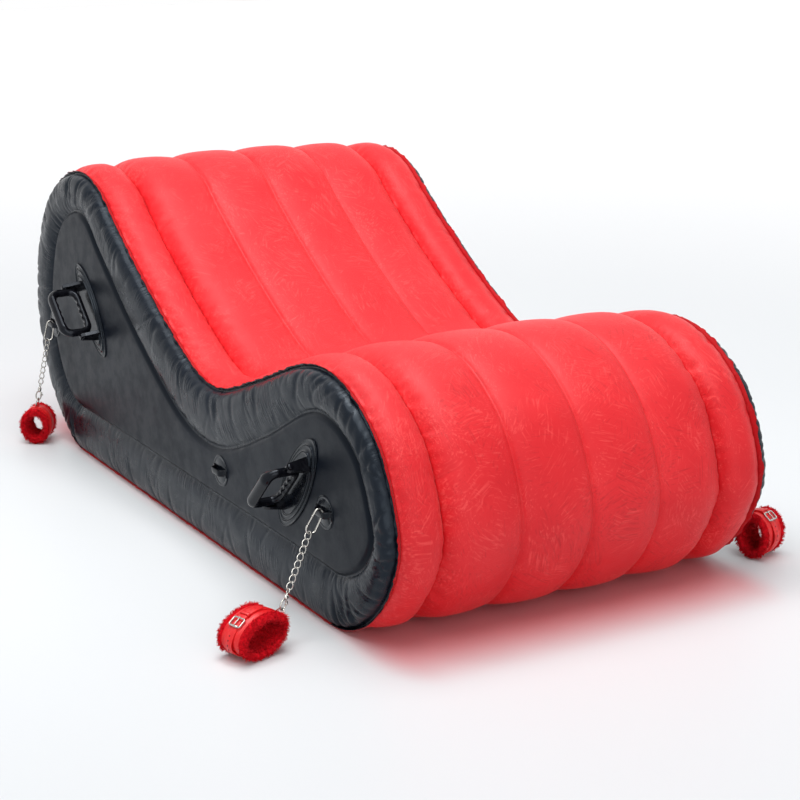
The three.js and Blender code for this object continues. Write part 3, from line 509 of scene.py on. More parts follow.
def channel(y0, base0, y1, base1, crown):
    """Section (y, rise) of one inflated channel between two seams."""
    out = []
    for k in range(CHANNEL_STEPS + 1):
        t = (1 - math.cos(PI * k / CHANNEL_STEPS)) / 2
        t = 0.7 * t + 0.3 * k / CHANNEL_STEPS
        base = base0 + (base1 - base0) * t
        bulge = (1 - abs(2 * t - 1) ** 2.6) ** 0.74
        out.append((y0 + (y1 - y0) * t, bulge * (crown + base) - base))
    return out


def strip(name, section, noise_seed, puckers):
    """Sheet of cloth over the body; puckers are seams (y, seed, depth, reach)."""
    ys, rise = np.array(section).T
    m, s = len(ys), ST["s"]
    crease = np.zeros((COVER_STEPS, m))
    for py, seed, depth, reach in puckers:
        rng = random.Random(seed)
        at = 0.0
        while at < s[-1]:
            at += rng.uniform(0.008, 0.030)
            w = rng.uniform(0.004, 0.009)
            d, r = depth * rng.uniform(0.3, 1.0), reach * rng.uniform(0.5, 1.4)
            slant = rng.uniform(-0.5, 0.5)
            off = np.abs(ys - py)[None, :]
            along = s[:, None] - at - slant * off
            crease -= (d * np.exp(-(along / (w + off * 0.25)) ** 2) * np.exp(-(off / r) ** 2)
                       * np.minimum(off / 0.0025, 1))
    swell = np.array([[waves((0.0022, q * 2.6, y * 4.0 + noise_seed, 0.5),
                             (0.0009, q * 10, y * 13 + noise_seed, 7.5)) for y in ys] for q in s])
    edge = np.minimum(1.0, np.minimum(np.abs(ys - ys[0]), np.abs(ys - ys[-1])) / 0.004)[None, :]
    fade = ST["fade"][:, None]
    h = rise[None, :] * fade + (swell + crease) * fade * edge
    out_x, out_z = ST["out"][:, :1], ST["out"][:, 1:]
    outer = np.zeros((COVER_STEPS, m, 3))
    outer[:, :, 0] = ST["x"][:, None] + out_x * h
    outer[:, :, 1] = ys[None, :]
    outer[:, :, 2] = np.maximum(ST["z"][:, None] + out_z * h, 0.0)
    inner = outer.copy()
    inner[:, :, 0] -= out_x * WALL
    inner[:, :, 2] -= out_z * WALL
    p = Pieces().rings(np.concatenate([outer, inner[:, ::-1]], 1))
    return new_mesh(name, p.v, p.f, FLOCK)


SEAMS = [(-0.30085, 0.008), (-0.150, -0.0155), (0.0, -0.0165), (0.150, -0.0155), (0.30085, 0.008)]
wide = []
for k, crown in enumerate((0.0255, 0.0285, 0.0285, 0.0255)):
    wide += channel(*SEAMS[k], *SEAMS[k + 1], crown)[1 if k else 0:]
for k, (y, r) in enumerate(wide):
    # narrow crease of the weld line along each seam
    d = min(abs(y - q) for q, _ in SEAMS[1:-1])
    wide[k] = (y, r - 0.0028 * math.exp(-(d / 0.0032) ** 2))
cover = strip("top_cover_cloth", wide, 0.0, [
    (-0.301, 31, 0.0055, 0.020), (0.301, 32, 0.0055, 0.020), (-0.150, 33, 0.0012, 0.009),
    (0.150, 34, 0.0012, 0.009), (0.0, 35, 0.0012, 0.009)])

# seat for the valve flange: the cloth lies flat round the sleeve
VALVE_AT = Vector((-0.85078, 0.07500, 0.18375))
VALVE_OUT = Vector((-0.92657, 0.00000, -0.37612))
for v in cover.data.vertices:
    rel = v.co - VALVE_AT
    up = rel.dot(VALVE_OUT)
    flat = (rel - VALVE_OUT * up).length
    if flat < 0.06 and abs(up) < 0.03:
        w = 1 - smoothstep((flat - 0.020) / 0.040)
        v.co -= VALVE_OUT * float((up - min(up, 0.0)) * w)


def flat_net(edge, step, amount):
    """Triangles over a closed outline; returns points (x, z, height) and faces."""
    low, high = edge.min(0), edge.max(0)
    ahead = np.roll(edge, -1, 0)
    points = [Vector(q) for q in edge]
    for gx in np.arange(low[0] + step, high[0], step):
        for gz in np.arange(low[1] + step, high[1], step):
            hit = (edge[:, 1] > gz) != (ahead[:, 1] > gz)
            a, b = edge[hit], ahead[hit]
            xs = a[:, 0] + (gz - a[:, 1]) * (b[:, 0] - a[:, 0]) / (b[:, 1] - a[:, 1])
            gap = np.hypot(edge[:, 0] - gx, edge[:, 1] - gz).min()
            if np.sum(xs > gx) % 2 and gap > 0.007:
                points.append(Vector((gx, gz)))
    out, _, faces, _, _, _ = delaunay_2d_cdt(points, [], [list(range(len(edge)))], 1, 1e-6)
    net = []
    for q in out:
        far = min(1.0, float(np.hypot(edge[:, 0] - q.x, edge[:, 1] - q.y).min()) / 0.05)
        wave = waves((1, q.x * 5.5, q.y * 7.0, 1.0), (0.35, q.x * 17, q.y * 21, 4.0))
        net.append((q.x, q.y, amount * wave * smoothstep(far)))
    return np.array(net), faces


RIM_PROFILE = [
    (0, 0.0016), (0.008, 0.007), (0.02, 0.0125), (0.05, 0.0195), (0.1, 0.0248), (0.17, 0.0284),
    (0.27, 0.0308), (0.4, 0.0319), (0.55, 0.0320), (0.68, 0.0309), (0.79, 0.0288), (0.87, 0.0260),
    (0.93, 0.0230), (0.97, 0.0202), (1.0, 0.0180)]


def side_panel(side, hand):
    x, z, rim, out, fade, along = (SS[key] for key in ("x", "z", "rim", "out", "fade", "s"))

    def ring(inward, outward):
        pts = np.zeros((MS, 3))
        pts[:, 0] = x - out[:, 0] * inward
        pts[:, 1] = side * (HALF + outward)
        pts[:, 2] = np.maximum(z - out[:, 1] * inward, 0.0)
        return pts

    # flat middle of the panel: a fine net of triangles with soft undulations
    edge = ring(rim + 0.014, PANEL_OUT)
    middle, net = flat_net(edge[:, [0, 2]], 0.012, 0.0007)
    rows = [edge]
    rows += [ring(rim + a, h) for a, h in ((0.0095, 0.0252), (0.0060, 0.0228), (0.0030, 0.0196))]

    # cushion rim with gathers from the hem and from the weld
    shares = np.concatenate([
        np.linspace(1, 0.88, 6), np.linspace(0.85, 0.16, 20), np.linspace(0.13, 0.012, 7)])
    profile = np.interp(shares, *np.array(RIM_PROFILE).T)
    seed = 11 if side < 0 else 12
    across = shares * 0.10
    hem = fold_field(across, gathers(seed, 0.010, 0.026, 0.0019, 0.0050), 0.085)
    weld = fold_field(0.10 - across, gathers(seed + 7, 0.015, 0.060, 0.0009, 0.0026), 0.06)
    for k, a in enumerate(shares):
        soft = np.array([waves((0.0016, q * 7, a * 2.5, side * 2.0),
                               (0.0009, q * 24, a * 4, side * 5.0)) for q in along])
        h = profile[k] - hem[:, k] - weld[:, k] + soft * min(1.0, a / 0.1, (1 - a) / 0.08 + 0.15)
        rows.append(ring(np.maximum(a * rim, 0.0016), np.maximum(h, 0.0016)))

    # hem lip, a thin crinkled frill
    frill = np.array([waves((0.0036, q * 52, side * 4.0, 1.7), (0.0014, q * 120, side, 0.2))
                      for q in along]) * (0.45 + 0.55 * fade)
    lean = (1 - fade) * PI / 2 + fade * 0.75
    for dx, dy in ((0.0, 1.0), (0.5, 1.0), (1.0, 0.9), (1.0, 0.1), (0.5, 0.0), (0.0, 0.0)):
        reach = (0.0092 + 0.0095 * (1 - fade) + frill) * dx
        thick = 0.0012 * dy
        rows.append(ring(thick * np.sin(lean) - reach * np.cos(lean),
                         thick * np.cos(lean) + reach * np.sin(lean) + np.abs(frill) * dx))
    back = ring(0.002, 0.0)
    rows.append(back)
    pts = np.concatenate(rows)
    faces = grid_faces(len(rows), MS, False, True)
    back_net = flat_net(back[:, [0, 2]], 0.09, 0.0)
    for (net_points, net_faces), level in (((middle, net), PANEL_OUT), (back_net, 0.0)):
        start = len(pts)
        y = side * (HALF + level + net_points[:, 2])
        pts = np.concatenate([pts, np.stack([net_points[:, 0], y, net_points[:, 1]], 1)])
        faces += [tuple(start + k for k in face) for face in net_faces]
    o = new_mesh(f"{hand}_side_skin", pts, faces, VINYL)
    for extra in (SHADED_HEM_RED, VINYL_FLAT, FLOCK):
        o.data.materials.append(extra)
    # the hem lip above the floor takes the darker flock copy, painted shade; its part on the floor
    # takes the plain flock
    first, last = (len(rows) - 5) * MS, (len(rows) - 1) * MS
    for k, face in enumerate(o.data.polygons):
        on_floor = k % MS >= MS - FLOOR_STEPS - 1
        if first - (2 * MS if on_floor else 0) <= k < last:
            face.material_index = 3 if on_floor else 1
        elif k < 3 * MS or last <= k < last + len(net):
            face.material_index = 2
    run, reach = np.zeros((2, len(pts)), np.float32)
    for r in range(len(rows)):
        run[r * MS:(r + 1) * MS] = along + side * 3
        reach[r * MS:(r + 1) * MS] = shares[min(max(r - 4, 0), len(shares) - 1)]
    for key, values in (("run", run), ("reach", reach)):
        o.data.attributes.new(key, "FLOAT", "POINT").data.foreach_set("value", values)
    fix_normals(o)
    return dress(o, "body", "black_vinyl", f"{hand}_side_panel")


dress(cover, "body", "red_flock", "top_cover")
for side, hand in SIDES:
    section = channel(side * 0.30115, 0.010, side * 0.3897, 0.0, 0.0185)
    band = strip(f"{hand}_band_cloth", section, 5.0 + side, [
        (side * 0.301, 31 if side < 0 else 32, 0.0050, 0.018),
        (side * 0.390, 37 + side, 0.0048, 0.016)])
    fix_normals(band)
    dress(band, "body", "red_flock", f"{hand}_edge_band")
    side_panel(side, hand)
fix_normals(cover)


def panel_point(side, along_share, up_share, out=0.0):
    return Vector((LENGTH / 2 - along_share * LENGTH, side * (HALF + PANEL_OUT + out),
                   up_share * HEIGHT))


def closed(half, turn=1):
    """A closed section from its right half; it begins with the left half's last points."""
    left = [(-a, b) for a, b in reversed(half)]
    return left[-turn:] + half + left[:-turn]


# Grab handles: end, share of length, share of height, slope
HANDLES = [("front", 0.1919, 0.3689, 45), ("rear", 0.7849, 0.5518, -41)]
PATCH_LONG, PATCH_WIDE, PATCH_EDGE, TIER = 0.120, 0.045, 0.118, 0.0022
GRIP_HALF, GRIP_BAR, GRIP_CORNER, PIVOT = 0.056, 0.0085, 0.019, 0.041
GRIP_LOW, GRIP_HIGH = 0.021, 0.079


def patch_ring(k, height, power=1.9):
    out = []
    for c, s in around(96):
        r = (abs(c) ** power + abs(s) ** power) ** (-1 / power)
        out.append(Vector((PATCH_LONG * k * c * r, PATCH_WIDE * k * s * r, height)))
    return out


def handle_patch():
    """Three oval tiers with a raised ridge along each edge."""
    rings = []
    for i, share in enumerate((1, 0.86, 0.72)):
        z0, z1 = i * TIER + (0 if i else 0.0003), (i + 1) * TIER
        for shrink, h in ((0.0, z0), (0.0, z0 + 0.0012), (0.0006, z1), (0.0016, z1 + 0.0008),
                          (0.0027, z1 + 0.0001), (0.0034, z1 - 0.0003)):
            rings.append(patch_ring((PATCH_EDGE * share - shrink) / PATCH_EDGE, h))
    rings += [patch_ring(k, 0.0066 - (0.72 - k) * 0.003) for k in (0.66, 0.6)]
    return Pieces().rings(rings)


def handle_lugs():
    p = Pieces()
    inside = GRIP_HALF + GRIP_BAR + 0.0006
    face = [(-0.015, 0.006), (0.015, 0.006), (0.013, 0.016), (0.0095, 0.034), (0.0082, 0.043),
            (0.0055, 0.0475), (0.0, 0.049), (-0.0055, 0.0475), (-0.0082, 0.043), (-0.0095, 0.034),
            (-0.013, 0.016)]
    pin = [(-0.0158, 0.003), (0, 0.003), (0.0006, 0.0055), (0.0022, 0.0055), (0.003, 0.0042)]
    for end in (-1, 1):
        p.rings([[(end * a, u, w) for u, w in face] for a in (inside, inside + 0.009)])
        p.turned((end * (inside + 0.0088), 0, PIVOT), (end, 0, 0), pin, 24)
    return p


def handle_grip():
    """Ring with finger waves inside, a broad outer bar and cheeks that carry the pins."""
    middle, straight = (GRIP_LOW + GRIP_HIGH) / 2, GRIP_HALF - GRIP_CORNER
    half_h = (GRIP_HIGH - GRIP_LOW) / 2
    path = []
    for d, level, z in ((1, GRIP_HIGH, middle + half_h - GRIP_CORNER),
                        (-1, GRIP_LOW, middle - half_h + GRIP_CORNER)):
        bows = []
        for x, start in ((d * straight, 90 - 90 * d), (-d * straight, 180 - 90 * d)):
            angles = [math.radians(start + 90 * k / 8) for k in range(9)]
            bows.append([(x + GRIP_CORNER * math.cos(a), z + GRIP_CORNER * math.sin(a))
                         for a in angles])
        z0, z1 = middle - d * (half_h - GRIP_CORNER), middle + d * (half_h - GRIP_CORNER)
        path += bows[0] + [(d * straight * (1 - 2 * k / 40), level) for k in range(1, 40)]
        path += bows[1] + [(-d * GRIP_HALF, z1 + (z0 - z1) * k / 6) for k in range(1, 6)]
    rings = []
    for i, (x, z) in enumerate(path):
        a, b = path[i - 1], path[(i + 1) % len(path)]
        tx, tz = b[0] - a[0], b[1] - a[1]
        ln = math.hypot(tx, tz)
        ox, oz = tz / ln, -tx / ln
        if ox * x + oz * (z - middle) < 0:
            ox, oz = -ox, -oz
        wave = 0.5 + 0.5 * math.cos(4 * PI * (x + straight) / straight) if abs(x) < straight else 1
        wave = wave ** 1.6
        high, ahead = (z - middle) / half_h, (GRIP_HALF - abs(x)) / 0.016
        broad = 1 + 0.52 * float(smoothstep(high * 1.15)) * float(smoothstep(ahead))
        ring = []
        for c, s in around(20, 0.5):
            pinch = 1 - 0.30 * (1 - wave) * max(0.0, -c) ** 0.7
            lift = 1 + 0.18 * float(smoothstep(high)) * max(0.0, c)
            ring.append((x + ox * GRIP_BAR * c * pinch * lift, GRIP_BAR * s * broad,
                         z + oz * GRIP_BAR * c * pinch * lift))
        rings.append(ring)
    p = Pieces().rings(rings, True)
    for end in (-1, 1):
        p.turned((end * (GRIP_HALF + GRIP_BAR - 0.0012), 0, PIVOT), (end, 0, 0),
                 [(0, 0.0062), (0.0013, 0.006), (0.0013, 0.0035), (0, 0.0035)], 24, True)
    return p


for side, hand in SIDES:
    for end, a, u, slope in HANDLES:
        name = f"{hand}_{end}"
        origin, out = panel_point(side, a, u), Vector((0, side, 0))
        steep, slope = math.radians(slope + math.copysign(9, slope)), math.radians(slope)
        along = (math.cos(slope), 0, math.sin(slope))
        handle_patch().transform(origin, (math.cos(steep), 0, math.sin(steep)), out).make(
            name, "patch", PATCH, "body", "handle_patch", slot="black_vinyl")
        handle_lugs().transform(origin, along, out).make(name, "lugs", PLASTIC, "body", bevel=0.0012)
        handle_grip().transform(origin, along, out).make(name, "grip_bar", PLASTIC, "grip", "grip")

# Tether tabs: end, share of length, share of height
TABS = [("front", 0.1308, 0.3308), ("middle", 0.3884, 0.2622), ("rear", 0.9244, 0.4284)]
TAB_DISC = [(0.0003, 0.0322), (0.0009, 0.0322), (0.0014, 0.0312), (0.0015, 0.027), (0.0011, 0.0262),
            (0.0011, 0.0255), (0.0015, 0.0245)]


def tab_band():
    """Band over the disc that stands up as a loop in its middle."""
    line = [(-0.030, 0.0022), (-0.026, 0.0022), (-0.0225, 0.0028), (-0.020, 0.0052),
            (-0.0188, 0.0085), (-0.0172, 0.0112), (-0.0145, 0.0125), (-0.009, 0.0128)]
    line += [(0.0, 0.0129)] + [(-x, z) for x, z in line[::-1]]
    rings = []
    for i, (x, z) in enumerate(line):
        a, b = line[max(i - 1, 0)], line[min(i + 1, len(line) - 1)]
        ln = math.hypot(b[0] - a[0], b[1] - a[1])
        nx, nz = -(b[1] - a[1]) / ln, (b[0] - a[0]) / ln
        half, t = 0.006 + 0.002 * smoothstep((abs(x) - 0.018) / 0.006), 0.0012
        under = [(-half, -t * 0.6), (-half * 0.9, -t), (half * 0.9, -t), (half, -t * 0.6)]
        rings.append([Vector((x + nx * w, y, z + nz * w))
                      for y, w in under + [(y, -w) for y, w in reversed(under)]])
    return Pieces().rings(rings)


for side, hand in SIDES:
    for end, a, u in TABS:
        place = panel_point(side, a, u), (1, 0, 0), (0, side, 0)
        Pieces().turned((0, 0, 0), (0, 0, 1), TAB_DISC, 64).transform(*place).make(
            f"{hand}_{end}", "tab_disc", PATCH, "body", "tab", slot="black_plastic")
        tab_band().transform(*place).make(f"{hand}_{end}", "tab_band", PLASTIC, "body")

# Tethers: name, tab, side, swing, lean, bore, way to the ring, cuff's half axes, buckle's place
CORNERS = [
    ("right_front", 0, -1, 31, 12.5, (0.956, 0.292, 0), (-0.289, 0.945, 0.155), 0.058, 0.040, 5),
    ("right_rear", 2, -1, 13, 0, (0.809, -0.588, 0), (0, 0, 1), 0.042, 0.035, 5),
    ("left_front", 0, 1, 22, 25, (-0.3, 0.954, 0), (-0.954, -0.3, 0), 0.038, 0.046, 5),
    ("left_rear", 2, 1, 13, 0, (0.809, 0.588, 0), (0, 0, 1), 0.042, 0.035, -6),
]
CAR_WIRE, CAR_TOP, CAR_LOW, CAR_SPAN = 0.002, 0.0086, 0.010, 0.0294
LINKS, LINK_WIRE, LINK_LONG, LINK_WIDE, PITCH, PLAY = 8, 0.0012, 0.0078, 0.0053, 0.0136, 0.0007
EYE_WIRE, EYE_R, STUD_R, STUD_L, HEAD_R, HEAD_L = 0.0012, 0.0042, 0.0016, 0.007, 0.0025, 0.0016
BARREL_R, BARREL_L, BARREL_T = 0.0044, 0.010, 0.0012
HOOK_WIRE, HOOK_LONG, HOOK_WIDE = 0.0018, 0.0104, 0.006
RING_WIRE, RING_WIDE, RING_HIGH = 0.0015, 0.010, 0.016
LEATHER_T, STRAP_T, STRAP_HALF, CUFF_HALF = 0.003, 0.0022, 0.009, 0.022
KEEPER_R, KEEPER_HALF = 0.0036, 0.006


def arc(centre, right, down, radius, start, end, steps):
    angles = [math.radians(start + (end - start) * k / steps) for k in range(steps + 1)]
    return [centre + right * (radius * math.cos(a)) + down * (radius * math.sin(a)) for a in angles]


def between(a, b, steps):
    return [a.lerp(b, k / steps) for k in range(1, steps)]


def carabiner_pieces(name, hang, lower, front, drop):
    """Wire loop with a nose that catches the gate and the pin on which the gate turns."""
    across = Vector((1, 0, 0))
    top_front, low_front = hang + front * CAR_TOP, lower + front * CAR_LOW
    gate_top, gate_low = top_front.lerp(low_front, 0.32), top_front.lerp(low_front, 0.92)
    top = arc(hang, front, drop, CAR_TOP, 0, -180, 28)
    low = arc(lower, front, drop, CAR_LOW, 180, 0, 28)
    path = [gate_top] + between(gate_top, top[0], 3) + top + between(top[-1], low[0], 6) + low
    path += between(low[-1], gate_low, 2) + [gate_low]
    p = Pieces().tube(path, CAR_WIRE, 16, across, False)
    axis = (gate_top - gate_low).normalized()
    p.turned(gate_top - axis * 0.0001, axis, [
        (0, 0.0016), (0.0002, 0.0024), (0.0014, 0.0025), (0.0022, 0.0021)], 20)
    p.turned(gate_low - axis * 0.0012 - across * 0.0027, across, [
        (0, 0.0008), (0.0003, 0.0013), (0.0051, 0.0013), (0.0054, 0.0008)], 16)
    p.make(name, "carabiner_wire", STEEL, "carabiner", "carabiner")
    length = (gate_top - gate_low).length
    Pieces().turned(gate_low, axis, [
        (0.0006, 0.0012), (0.0009, 0.0017), (0.0030, 0.0017), (0.0034, 0.0015),
        (length - 0.0042, 0.0015), (length - 0.0036, 0.0018), (length - 0.0012, 0.0018),
        (length - 0.0008, 0.0013)], 20).make(name, "gate_bar", STEEL, "gate", "gate")


def chain_pieces(name, down, pull, wide, square):
    """Twisted links, each a little straighter along its sides than an ellipse, and the swivel."""
    p = Pieces()
    first = LINK_LONG - LINK_WIRE - PLAY
    plane = (wide - square).normalized().cross(pull)
    for k in range(LINKS):
        centre = down(first + k * PITCH)
        path = []
        for c, s in around(40):
            along = LINK_LONG * s
            flat = LINK_WIDE * math.copysign(abs(c) ** 0.8, c)
            twist = (1 + along / LINK_LONG) * PI / 4
            path.append(centre + pull * along + wide * (flat * math.cos(twist))
                        - square * (flat * math.sin(twist)))
        p.tube(path, LINK_WIRE, 10, plane)
    last = first + (LINKS - 1) * PITCH + LINK_LONG
    eye = last - LINK_WIRE - EYE_WIRE + 0.0003 + EYE_R
    p.tube(arc(down(eye), wide, pull, EYE_R, 0, 360, 32)[1:], EYE_WIRE, 12, square)
    stud, neck = eye + EYE_R, STUD_L - HEAD_L
    p.turned(down(stud), pull, [
        (0, 0.0012), (0.0004, STUD_R), (neck, STUD_R), (neck, HEAD_R - 0.0002),
        (neck + 0.0003, HEAD_R), (STUD_L - 0.0003, HEAD_R), (STUD_L, HEAD_R - 0.0003)], 24)
    p.make(name, "twisted_chain", STEEL, "chain", "chain")
    return stud


def hook_pieces(name, down, pull, across, bore, stud):
    """Swivel barrel and hook with its spring bolt and knob, and the D-ring."""
    top, cavity = stud + EYE_WIRE + 0.0006, HEAD_R + 0.0006
    p = Pieces()
    p.turned(down(top), pull, [
        (0, STUD_R + 0.0006), (0, BARREL_R - 0.0008), (0.0006, BARREL_R - 0.0001),
        (0.0012, BARREL_R), (0.0022, BARREL_R), (0.0025, BARREL_R - 0.0004),
        (0.0031, BARREL_R - 0.0004), (0.0034, BARREL_R), (BARREL_L - 0.0022, BARREL_R),
        (BARREL_L - 0.0008, BARREL_R - 0.0006), (BARREL_L, BARREL_R - 0.0016), (BARREL_L, STUD_R),
        (BARREL_L - BARREL_T, STUD_R), (BARREL_L - BARREL_T, cavity), (BARREL_T, cavity),
        (BARREL_T, STUD_R + 0.0006)], 28, True)
    centre = top + BARREL_L + HOOK_LONG - HOOK_WIRE / 2
    path = [down(centre + HOOK_LONG * s) + across * (HOOK_WIDE * c)
            for c, s in around(56)]
    p.tube(path, HOOK_WIRE, 14, pull.cross(across))
    bolt = down(centre - 0.0035) + across * (HOOK_WIDE * 0.94)
    p.turned(bolt - pull * 0.0050, pull, [
        (0, 0.0017), (0.0004, 0.0023), (0.0078, 0.0023), (0.0083, 0.0018)], 20)
    p.turned(bolt, across, [
        (0.0010, 0.0010), (0.0034, 0.0010), (0.0036, 0.0016), (0.0044, 0.0018), (0.0050, 0.0012)], 16)
    p.make(name, "swivel_hook", STEEL, "hook", "snap_hook")
    bow_top = down(centre + HOOK_LONG - HOOK_WIRE - 0.0003 - RING_WIRE)
    ring_down = (pull - bore * pull.dot(bore)).normalized()
    bar, bow = bow_top + ring_down * RING_HIGH, bow_top + ring_down * RING_WIDE
    left, right = ([bar + bore * (s * (RING_WIDE - short)) - ring_down * rise
                    for short, rise in ((0, 0.0012), (0.0003, 0.0004), (0.0012, 0))] for s in (-1, 1))
    path = arc(bow, bore, ring_down, RING_WIDE, 0, -180, 28)
    path += between(path[-1], left[0], 3) + left + between(left[2], right[2], 8) + right[::-1]
    path += between(path[-1], path[0], 3)
    Pieces().tube(path, RING_WIRE, 14, bore.cross(ring_down)).make(
        name, "d_ring", STEEL, "hook", "ring")
    return bar


class Oval:
    """The cuff's oval: points round the bore with their outward direction."""

    def __init__(self, centre, bore, radial, along, across):
        self.centre, self.bore, self.radial = centre, bore, radial
        self.other = bore.cross(radial)
        self.along, self.across = along, across

    def at(self, angle, axial, rise):
        c, s = math.cos(angle), math.sin(angle)
        point = self.centre + self.radial * (self.along * c) + self.other * (self.across * s)
        normal = (self.radial * (c / self.along) + self.other * (s / self.across)).normalized()
        return point + self.bore * axial + normal * rise, normal

    def tangent(self, angle):
        return (self.at(angle + 0.01, 0, 0)[0] - self.at(angle - 0.01, 0, 0)[0]).normalized()

    def row(self, angle, section):
        return [self.at(angle, axial, rise)[0] for axial, rise in section]

    def ring(self, section, steps, wobble=lambda a, k: 0.0):
        """Closed ring of a section (axial, rise) with a wobble by angle and point."""
        return Pieces().rings([
            self.row(a, [(x, h + wobble(a, k)) for k, (x, h) in enumerate(section)])
            for a in (TURN * i / steps for i in range(steps))], True)

    def stitches(self, p, axial, rise, count, lift=lambda a: 0.0, long=0.0016, wide=0.0003):
        b = self.bore
        for k in range(count):
            a = TURN * (k + 0.5) / count
            mid, normal = self.at(a, axial, rise + lift(a))
            t = self.tangent(a)
            rings = []
            for u, h in ((-1, 0.35), (-0.6, 1), (0.6, 1), (1, 0.35)):
                c = mid + t * (u * long / 2)
                flank, top = b * wide * 0.6, normal * (wide * h)
                rings.append([c - b * wide - normal * 0.0003, c + b * wide - normal * 0.0003,
                              c + flank + top, c - flank + top])
            p.rings(rings)


def leather_section(half, low, high, r=0.0009):
    return closed([
        (half - r, low), (half, low + r), (half, high - r), (half - r * 0.4, high - r * 0.3),
        (half - r * 1.3, high), (half - 0.0022, high), (half - 0.0027, high - 0.0004),
        (half - 0.0032, high)], 2)


def cuff_pieces(name, bar, bore, to_ring, along, across, step):
    """Leather band, strap with buckle, tail, keeper loop and holes, and the fur lining."""
    radial = Vector(to_ring)
    radial = (radial - bore * radial.dot(bore)).normalized()
    oval = Oval(bar - radial * (along + KEEPER_R), bore, radial, along, across)
    mid = TURN * (step + 0.5) / 16
    sign = 1 if step > 0 else -1

    def arch(a):
        off = (a - mid - sign * 1.02 + PI) % TURN - PI
        return 0.0036 * math.exp(-(off / 0.40) ** 2)

    def ease(a, k):
        return 0.00025 * math.sin(3 * a + k * 0.4) * math.sin(5 * a + 1.3) + arch(a)

    low = -LEATHER_T - STRAP_T
    band = oval.ring(leather_section(CUFF_HALF, low, -STRAP_T), 120)
    for s in (-1, 1):
        oval.stitches(band, s * (CUFF_HALF - 0.0027), -STRAP_T - 0.0002, 88)
    end = 2 * KEEPER_HALF
    band.turned(bar - bore * KEEPER_HALF, bore, [
        (0, RING_WIRE + 0.0006), (0, KEEPER_R + 0.0009), (0.0005, KEEPER_R + 0.0011),
        (end - 0.0005, KEEPER_R + 0.0011), (end, KEEPER_R + 0.0009),
        (end, RING_WIRE + 0.0006)], 28, True)
    band.make(name, "cuff_leather", LEATHER, "cuff", "cuff")

    # strap: once round the cuff, its tail through the buckle and the keeper loop
    strap = oval.ring(leather_section(STRAP_HALF, -STRAP_T - 0.0002, -0.0001, 0.0006), 120, ease)
    for s in (-1, 1):
        oval.stitches(strap, s * (STRAP_HALF - 0.0027), -0.0003, 96, arch)
    tail = []
    for t in (i / 25 for i in range(26)):
        lift = 0.0002 + 0.0009 * smoothstep((t - 0.75) / 0.25)
        half = STRAP_HALF
        if t >= 0.88:
            half *= math.sqrt(max(0.05, 1 - ((t - 0.88) / 0.12) ** 2 * 0.93))
        tail.append(oval.row(mid - sign * (0.10 + 0.95 * t), [(x, h + lift) for x, h in closed([
            (half, 0.0002), (half, 0.0014), (half - 0.0008, 0.0018)])]))
    strap.rings(tail)
    keeper = closed([(STRAP_HALF + x, h) for x, h in (
        (0.0002, 0.0044), (0.0016, 0.0032), (0.0016, -0.0004), (0.0004, -0.0004), (0.0004, 0.0024),
        (-0.0006, 0.0031))], 3)
    strap.rings([oval.row(mid - sign * (0.34 + 0.035 * k), keeper) for k in range(4)])
    strap.make(name, "cuff_strap", LEATHER, "cuff")

    # punched holes along the strap, each drawn as a dark disc: painted shade in the hole
    holes = Pieces()
    for k in range(7):
        a = mid - sign * (0.62 + 0.17 * k) if k < 3 else mid + sign * (0.55 + 0.2 * (k - 3))
        point, normal = oval.at(a, 0.0, (0.0019 if k < 3 else arch(a)) - 0.0001)
        holes.turned(point, normal, [
            (-0.0004, 0.0012), (0.0002, 0.0013), (0.00025, 0.0011), (0.0001, 0.0008)], 18)
    holes.make(name, "strap_hole_shade", INNER, "cuff")

    # roller buckle on the flat of the strap
    p0, p1 = (oval.at(TURN * k / 16, 0, 0)[0] for k in (step, step + 1))
    run = (p1 - p0).normalized()
    normal = run.cross(bore)
    if normal.dot(oval.at(mid, 0, 0)[1]) < 0:
        normal = -normal
    middle = (p0 + p1) / 2 + normal * 0.0024
    half_w, half_l, r = 0.013, 0.009, 0.0028
    hinge = middle - run * (half_l * sign)
    path = []
    for cu, cv, start in ((1, 1, 0), (-1, 1, 90), (-1, -1, 180), (1, -1, 270)):
        centre = middle + bore * (cu * (half_w - r)) + run * (cv * (half_l - r))
        path += arc(centre, bore, run, r, start, start + 90, 5)
    b = Pieces().tube(path, 0.0016, 12, normal)
    b.turned(middle + run * (half_l * sign) - bore * 0.0092, bore, [
        (0, 0.0019), (0.0003, 0.0022), (0.0181, 0.0022), (0.0184, 0.0019)], 20)
    prong = [hinge + normal * 0.0004, middle - run * (0.004 * sign) + normal * 0.0012,
             middle + run * (0.003 * sign) + normal * 0.0016,
             middle + run * ((half_l + 0.0014) * sign) + normal * 0.0020]
    b.tube(prong, [0.0015, 0.0012, 0.0011, 0.0008], 10, bore, False)
    b.tube(arc(hinge, run, normal, 0.0021, 0, 360, 16)[1:], 0.0008, 8, bore)
    b.make(name, "roller_buckle", STEEL, "cuff", "buckle")
    fur_lining(name, oval, low - 0.0003)


